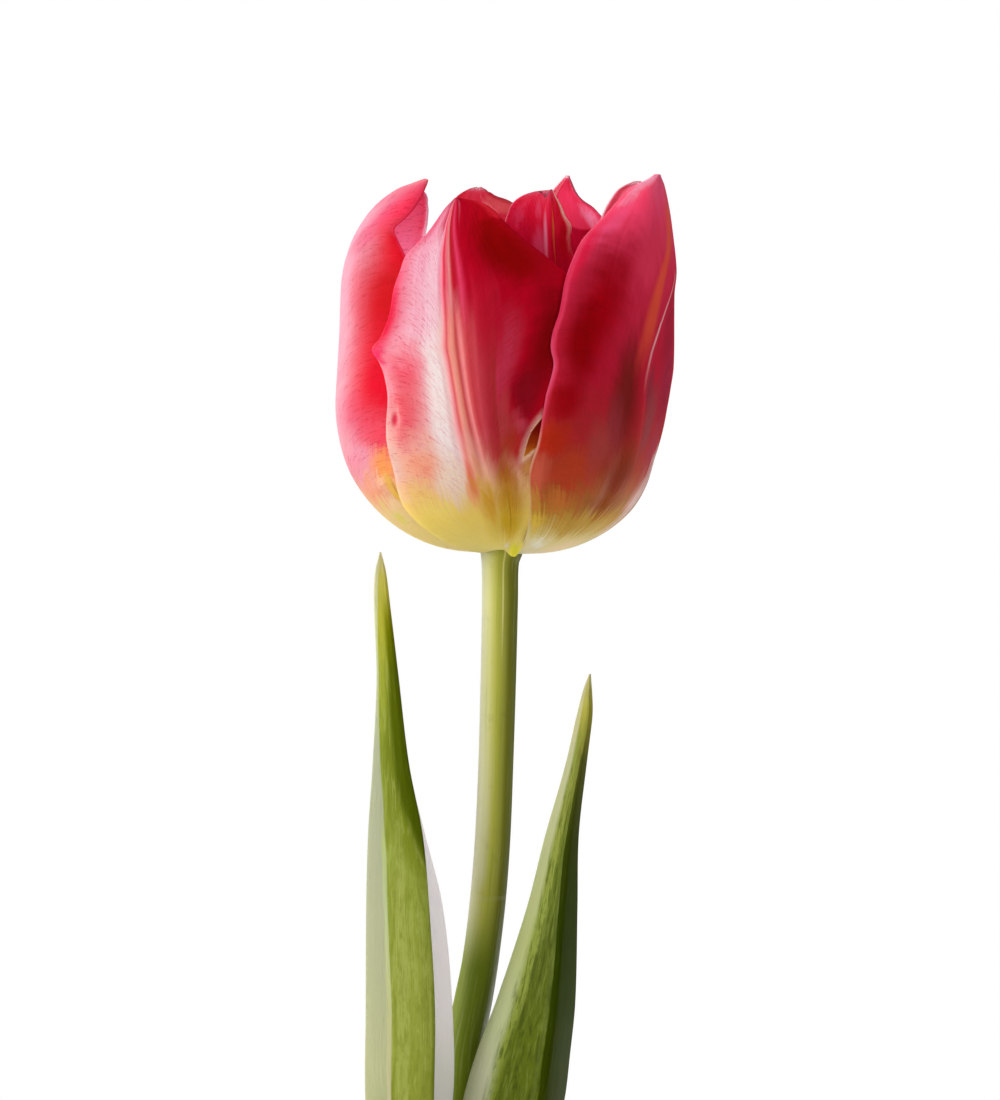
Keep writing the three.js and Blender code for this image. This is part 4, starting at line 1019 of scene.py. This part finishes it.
# colours once round the stem, from its right side by way of the back, the left side and the front; the
# right side is darker and the left side paler, painted shade and painted light over the stem's green
stemLook = {
    "upper": [(0, "6c722c"), (0.25, "98a048"), (0.5, "c6c4b0"), (0.58, "c8c69c"), (0.625, "cdcc94"),
        (0.67, "d6d488"), (0.71, "d2d068"), (0.75, "bec04e"), (0.8, "a8a946"), (0.85, "7e8028"),
        (0.92, "70752e"), (1, "6c722c")],
    "lower": [(0, "5c661e"), (0.5, "808a40"), (0.66, "7c8a38"), (0.71, "7a8c30"), (0.74, "7a8b26"),
        (0.8, "778622"), (0.87, "6e7a28"), (1, "5c661e")],
    "light": "d8d8a4", "dark": "70802c", "groove": "e6e48c", "pale": "ece8c4",
}


def stemSwell(angle, height):
    return 1 + stemPlan["ribDepth"] * math.cos(stemPlan["ribs"] * angle)


def stemFinish():
    material, wire = startFinish("stem_skin")
    across, along = bladeOf(wire)
    mottle = noiseOf(spotOf(wire), 260, 4, 0.6)
    streak = noiseOf(vectorOf(across * 40, along * 6), 1, 4, 0.6)
    turn = across + (streak - 0.5) * 0.02
    upper, lower = [turn.ramp(stemLook[key]) for key in ("upper", "lower")]
    # painted light: paler on the left side, in the band where leaf_left's shadow falls
    pale = turn.step(0.54, 0.6) * turn.step(0.74, 0.68) * along.step(0.59, 0.62) * along.step(0.84, 0.66)
    groove = abs(across - 0.778).step(0.012, 0.003) * along.step(0.84, 0.92)
    ring = abs(along - 0.586).step(0.004, 0.001) * mottle.step(0.4, 0.6)
    dark, light = stemLook["dark"], stemLook["light"]
    colour = layered(
        lower,
        (upper, (along + (streak - 0.5) * 0.03).step(0.5, 0.585)),
        (stemLook["pale"], pale * 0.4),
        (stemLook["groove"], groove * 0.8),
        (light, ring * 0.12),
        (light, streak.step(0.46, 0.3) * 0.2),
        (dark, streak.step(0.54, 0.74) * 0.25),
        (dark, mottle.step(0.58, 0.76) * 0.2),
    )
    return endFinish(material, colour, streak * 0.15 + 0.36, streak + mottle * 0.4, 0.15, 0.7, {
        "Subsurface Weight": 0.1, "Subsurface Radius": (0.5, 0.8, 0.2), "Subsurface Scale": 0.002,
        "Specular IOR Level": 0.05, "IOR": 1.4,
    })


pieceOf("stem_body", roundBody(stemPlan, stemSwell), [stemFinish()], "stem")
print("stem made")


# Pot

potPlan = {
    "segments": 128,
    "profile": [(6.5, 0), (34.6, 0), (36, 0.25), (36.9, 0.9), (37.3, 1.9), (42.4, 30), (47.2, 56),
        (50.2, 73.5), (51, 75.6), (52.4, 76.2), (54.3, 76.8), (55, 78), (55.3, 80), (55.9, 89),
        (56.4, 97.2), (56.1, 98.9), (55.2, 99.8), (54, 100), (52.8, 99.9), (51.9, 99.4), (51.2, 98.4),
        (48, 83), (40.6, 45), (33.6, 9), (32.6, 6.8), (31, 6), (6.5, 6), (6.5, 0)],
}


def potFinish():
    material, wire = startFinish("clay_fired")
    spot = spotOf(wire)
    x, y, z = partsOf(spot, 3)
    cloud = noiseOf(spot, 22, 5, 0.6, 0.6)
    grain = noiseOf(spot, 900, 3, 0.6)
    grit = noiseOf(spot, 300, 2, 0.5)
    rings = noiseOf(vectorOf(x * 6, y * 6, z * 420), 1, 3, 0.6)
    colour = layered(
        cloud.ramp([(0.3, "a4512f"), (0.5, "b9643f"), (0.7, "c9794f")]),
        ("8c4226", grit.step(0.6, 0.74) * 0.5),
        ("dba07c", rings.step(0.52, 0.75) * 0.3),
        ("e3cdb8", (cloud + z * 3).step(0.66, 0.42) * 0.55),
        ("dfc4ac", z.step(0.096, 0.1005) * cloud.step(0.42, 0.6) * 0.6),
    )
    return endFinish(material, colour, grain * 0.2 + 0.72, grain * 0.5 + rings + grit * 0.4, 0.3, 0.7)


pieceOf("pot_body", turned(potPlan["profile"], potPlan["segments"]), [potFinish()], "pot")
print("pot made")


# Soil

soilPlan = {
    "seed": 5,
    "grid": (180, 110),
    "foot": 6.3,
    "wall": 79.5,
    "wallRows": 0.3,  # share of the rows that stand on the wall
    "shoulder": 86,
    "gap": 0.35,
    "level": 87.4,
    "edgeDrop": 1.3,
    "mound": (2.6, 13),  # height and width round the shoot
    "crumbs": 420,
    "size": (0.5, 1.9),
    "spread": 48.5,
    "whiteEvery": 7,
}

# heights and radii of the pot's inside, at its floor and at its mouth
potInner = ((6, 33), (100, 51.3))


def potInside(height):
    (low, narrow), (high, wide) = potInner
    return narrow + (wide - narrow) * (height - low) / (high - low)


def soilRise(x, y):
    near = math.hypot(x - shootX, y)
    lump = noise.fractal(Vector((x, y, 3)) * 0.09, 0.7, 2.1, 4)
    crumb = noise.fractal(Vector((x, y, 7)) * 0.45, 0.8, 2.1, 3)
    edge = smooth(math.hypot(x, y), 50, 40)
    tall, width = soilPlan["mound"]
    base = soilPlan["level"] - soilPlan["edgeDrop"] * (1 - edge)
    return base + lump * 1.1 * edge + crumb * 0.5 + tall * bell(near / width)


def soilFinish():
    material, wire = startFinish("soil_peat")
    spot = spotOf(wire)
    cloud = noiseOf(spot, 60, 4, 0.6)
    grain = noiseOf(spot, 520, 4, 0.7)
    chips = wire.make("ShaderNodeTexVoronoi", None, {"Vector": spot, "Scale": 420})
    colour = layered(
        cloud.ramp([(0.3, "1f1610"), (0.5, "33251a"), (0.7, "4a3626")]),
        ("6a4f38", grain.step(0.56, 0.74) * 0.6),
        ("150f0b", grain.step(0.45, 0.3) * 0.7),
    )
    return endFinish(material, colour, grain * 0.2 + 0.75, grain + chips * 0.6, 0.9, 1.0)


def perliteFinish():
    material, wire = startFinish("soil_grit")
    grain = noiseOf(spotOf(wire), 800, 4, 0.7)
    colour = grain.ramp([(0.35, "a89a86"), (0.55, "d9d2c4"), (0.75, "efebe2")])
    return endFinish(material, colour, 0.85, grain, 0.3, 0.8)


def makeSoil():
    dice = random.Random(soilPlan["seed"])
    gap, wallRows = soilPlan["gap"], soilPlan["wallRows"]
    outer = potInside(soilPlan["shoulder"]) - gap

    def placeRow(v):
        def place(u):
            angle = math.pi * (u + 1)
            if v < wallRows:
                height = soilPlan["foot"] + soilPlan["wall"] * v / wallRows
                reach = potInside(height) - gap if v > 0 else 0
                return Vector((reach * math.cos(angle), reach * math.sin(angle), height))
            reach = outer * (1 - (v - wallRows) / (1 - wallRows))
            x, y = reach * math.cos(angle), reach * math.sin(angle)
            return Vector((x, y, soilRise(x, y)))

        return place

    bm = closeUp(blade(*soilPlan["grid"], placeRow))
    for k in range(soilPlan["crumbs"]):
        reach, angle = soilPlan["spread"] * math.sqrt(dice.random()), dice.random() * math.tau
        x, y = reach * math.cos(angle), reach * math.sin(angle)
        size = dice.uniform(*soilPlan["size"]) * (0.7 + 0.5 * dice.random())
        made = bmesh.ops.create_icosphere(bm, subdivisions=1, radius=size * mm)["verts"]
        for vert in made:
            vert.co *= dice.uniform(0.7, 1.25)
        bmesh.ops.scale(bm, verts=made, vec=(1, dice.uniform(0.6, 1), dice.uniform(0.5, 0.8)))
        spin = Matrix.Rotation(dice.random() * math.tau, 3, "Z")
        turn = spin @ Matrix.Rotation(dice.uniform(-0.5, 0.5), 3, "X")
        bmesh.ops.rotate(bm, verts=made, cent=(0, 0, 0), matrix=turn)
        bmesh.ops.translate(bm, verts=made, vec=Vector((x, y, soilRise(x, y) + size * 0.25)) * mm)
        if k % soilPlan["whiteEvery"] == 0:
            for face in {face for vert in made for face in vert.link_faces}:
                face.material_index = 1
    return bm


pieceOf("soil_bed", makeSoil(), [soilFinish(), perliteFinish()], "soil")
print("soil made")


# Bulb

bulbPlan = {
    "grid": (64, 60),
    "rows": [(37, -2, 0, 0), (37.05, -2, 0, 7), (38.5, -2, 0, 11), (43.5, -2, 0, 15), (50, -2, 0, 16.5),
        (58, -2, 0, 15), (65, -2, 0, 11), (70, -2, 0, 7), (73.8, -2, 0, 5), (74, -2, 0, 0)],
}


def bulbFinish():
    material, wire = startFinish("bulb_paper")
    across, along = bladeOf(wire)
    streak = noiseOf(vectorOf(across * 46, along * 3), 1, 4, 0.6)
    cloud = noiseOf(vectorOf(across * 8, along * 4), 1, 4, 0.6)
    colour = cloud.ramp([(0.3, "6b3f1f"), (0.5, "8f5a30"), (0.7, "b27a45")])
    colour = over(colour, "4d2b16", streak.step(0.54, 0.74) * 0.6)
    return endFinish(material, colour, streak * 0.2 + 0.42, streak, 0.3, 0.8)


pieceOf("bulb_body", roundBody(bulbPlan), [bulbFinish()], "bulb")
print("bulb made")


# Pistil and stamens

pistilPlan = {
    "grid": (72, 110),
    "lift": 2.2,
    "rows": [(0, 0, 0, 0), (0.05, 0, 0, 1.9), (2, 0, 0, 2.2), (7, 0, 0, 2.9), (14, 0, 0, 2.9),
        (18, 0, 0, 2.3), (19, 0, 0, 2.2), (20.4, 0, 0, 3.4), (21.4, 0, 0, 3.6), (22.3, 0, 0, 2.8),
        (22.5, 0, 0, 0)],
    "rise": [(0, "d6d58c"), (0.5, "b4c072"), (0.8, "a9b56a"), (0.86, "e5dba0"), (1, "efe6b8")],
}

stamenPlan = {
    "grid": (36, 80),
    "count": 6, "circle": 3.15, "lean": 17, "lift": 2.4,
    "rows": [(0, 0, 0, 0), (0.02, 0, 0, 0.62), (4, 0, 0, 0.56), (8, 0, 0, 0.46), (10, 0, 0, 0.4),
        (10.6, 0, 0, 0.9), (11.5, 0, 0, 1.3), (14, 0, 0, 1.5), (17, 0, 0, 1.5), (20, 0, 0, 1.3),
        (22, 0, 0, 1.05), (23.4, 0, 0, 0.6), (24, 0, 0, 0)],
    "rise": [(0, "d9d68e"), (0.3, "c9c48a"), (0.4, "7a5a6a"), (0.45, "2c1a30"), (1, "24152a")],
}


def pistilSwell(angle, height):
    lobed = 0.3 * smooth(height, 18.6, 20.2)
    return 1 + (lobed + 0.1 * min(height / 7, 1)) * math.cos(3 * angle)


def pistilFinish():
    material, wire = startFinish("pistil_skin")
    across, along = bladeOf(wire)
    streak = noiseOf(vectorOf(across * 40, along * 5), 1, 3, 0.6)
    grain = noiseOf(vectorOf(across * 90, along * 60), 1, 3, 0.6)
    colour = (along + (streak - 0.5) * 0.1).ramp(pistilPlan["rise"])
    colour = over(colour, "8a9a4c", streak.step(0.54, 0.74) * 0.4)
    return endFinish(material, colour, 0.5, streak + grain * along.step(0.8, 0.9), 0.2, 0.8)


def stamenSwell(angle, height):
    inside = smooth(height, 10.2, 12) * smooth(height, 23.6, 22)
    return 1 - inside * 0.2 * math.cos(2 * angle) ** 8


def stamenFinish():
    material, wire = startFinish("stamen_skin")
    across, along = bladeOf(wire)
    grain = noiseOf(vectorOf(across * 60, along * 120), 1, 3, 0.6)
    dust = grain.step(0.58, 0.7) * along.step(0.42, 0.5)
    colour = over(along.ramp(stamenPlan["rise"]), "6d5470", dust * 0.7)
    return endFinish(material, colour, 0.75, grain, 0.2, 0.8)


# stands a body on the bloom's foot, some way aside
def standOn(body, lift, aside):
    bmesh.ops.translate(body, verts=body.verts, vec=(bloomFoot + aside + Vector((0, 0, lift))) * mm)


pistil = roundBody(pistilPlan, pistilSwell)
standOn(pistil, pistilPlan["lift"], Vector((0, 0, 0)))
pieceOf("pistil_body", pistil, [pistilFinish()], "pistil")

stamenSkin = stamenFinish()
for k in range(stamenPlan["count"]):
    stamen = roundBody(stamenPlan, stamenSwell)
    angle = math.radians(30 + 360 / stamenPlan["count"] * k)
    lean = Matrix.Rotation(angle, 3, "Z") @ Matrix.Rotation(math.radians(stamenPlan["lean"]), 3, "Y")
    bmesh.ops.rotate(stamen, verts=stamen.verts, cent=(0, 0, 0), matrix=lean)
    standOn(stamen, stamenPlan["lift"], Vector((math.cos(angle), math.sin(angle), 0)) * stamenPlan["circle"])
    pieceOf(f"stamen_{k + 1}_body", stamen, [stamenSkin], f"stamen_{k + 1}")
print("pistil and stamens made")


# Studio: a pale floor that fades out, a room that only the camera sees white, and six soft lights, the
# strongest of them on the left and behind

studio = {
    "floorRadius": 1.05,
    "floorFade": 0.45,
    "world": 0.1,
    "aim": (7, 0, 220),
    "lights": {  # azimuth, elevation, distance, size, power
        "key": (-66, 25, 1.3, 0.85, 11),
        "side": (-100, 10, 1.2, 0.6, 7),
        "edge": (135, -25, 0.5, 0.15, 1.2),
        "fill": (32, 18, 1.3, 1.0, 3.6),
        "back": (-160, 30, 1.4, 1.0, 12),
        "top": (40, 62, 1.2, 0.8, 2.5),
    },
}


def floorFinish():
    material, wire = startFinish("floor_paper")
    spot = spotOf(wire)
    colour = noiseOf(spot, 30, 3, 0.5).ramp([(0.3, "eeedec"), (0.7, "f4f3f2")])
    seen = lengthOf(spot).step(studio["floorRadius"], studio["floorFade"])
    return endFinish(material, colour, 0.9, more={"Alpha": seen})


def makeStudio():
    bm = bmesh.new()
    bmesh.ops.create_circle(bm, cap_ends=True, radius=studio["floorRadius"], segments=96)
    floor = meshOf("floor", bm, [floorFinish()])
    floor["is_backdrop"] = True
    aim = Vector(studio["aim"]) * mm
    for name, (azimuth, elevation, distance, size, power) in studio["lights"].items():
        turn, tilt = math.radians(azimuth), math.radians(elevation)
        flat = Vector((math.sin(turn), -math.cos(turn), 0)) * math.cos(tilt)
        back = flat + Vector((0, 0, math.sin(tilt)))
        data = bpy.data.lights.new(name, "AREA")
        data.size, data.energy = size, power
        light = placed(name, data)
        light.location = aim + back * distance
        light.rotation_euler = back.to_track_quat("Z", "Y").to_euler()
    world = bpy.data.worlds.new("studio")
    world.use_nodes = True
    bpy.context.scene.world = world
    wire = Wire(world.node_tree)
    seen = wire.make("ShaderNodeLightPath", None, None, "Is Camera Ray")
    glow = seen * (1 - studio["world"]) + studio["world"]
    feed(world.node_tree.nodes["Background"], {"Color": (1, 1, 1, 1), "Strength": glow})
    bpy.context.scene.view_settings.view_transform = "Standard"


makeStudio()
print("studio set")

box = [[list(corner) for corner in pair] for pair in (cadBox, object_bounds())]
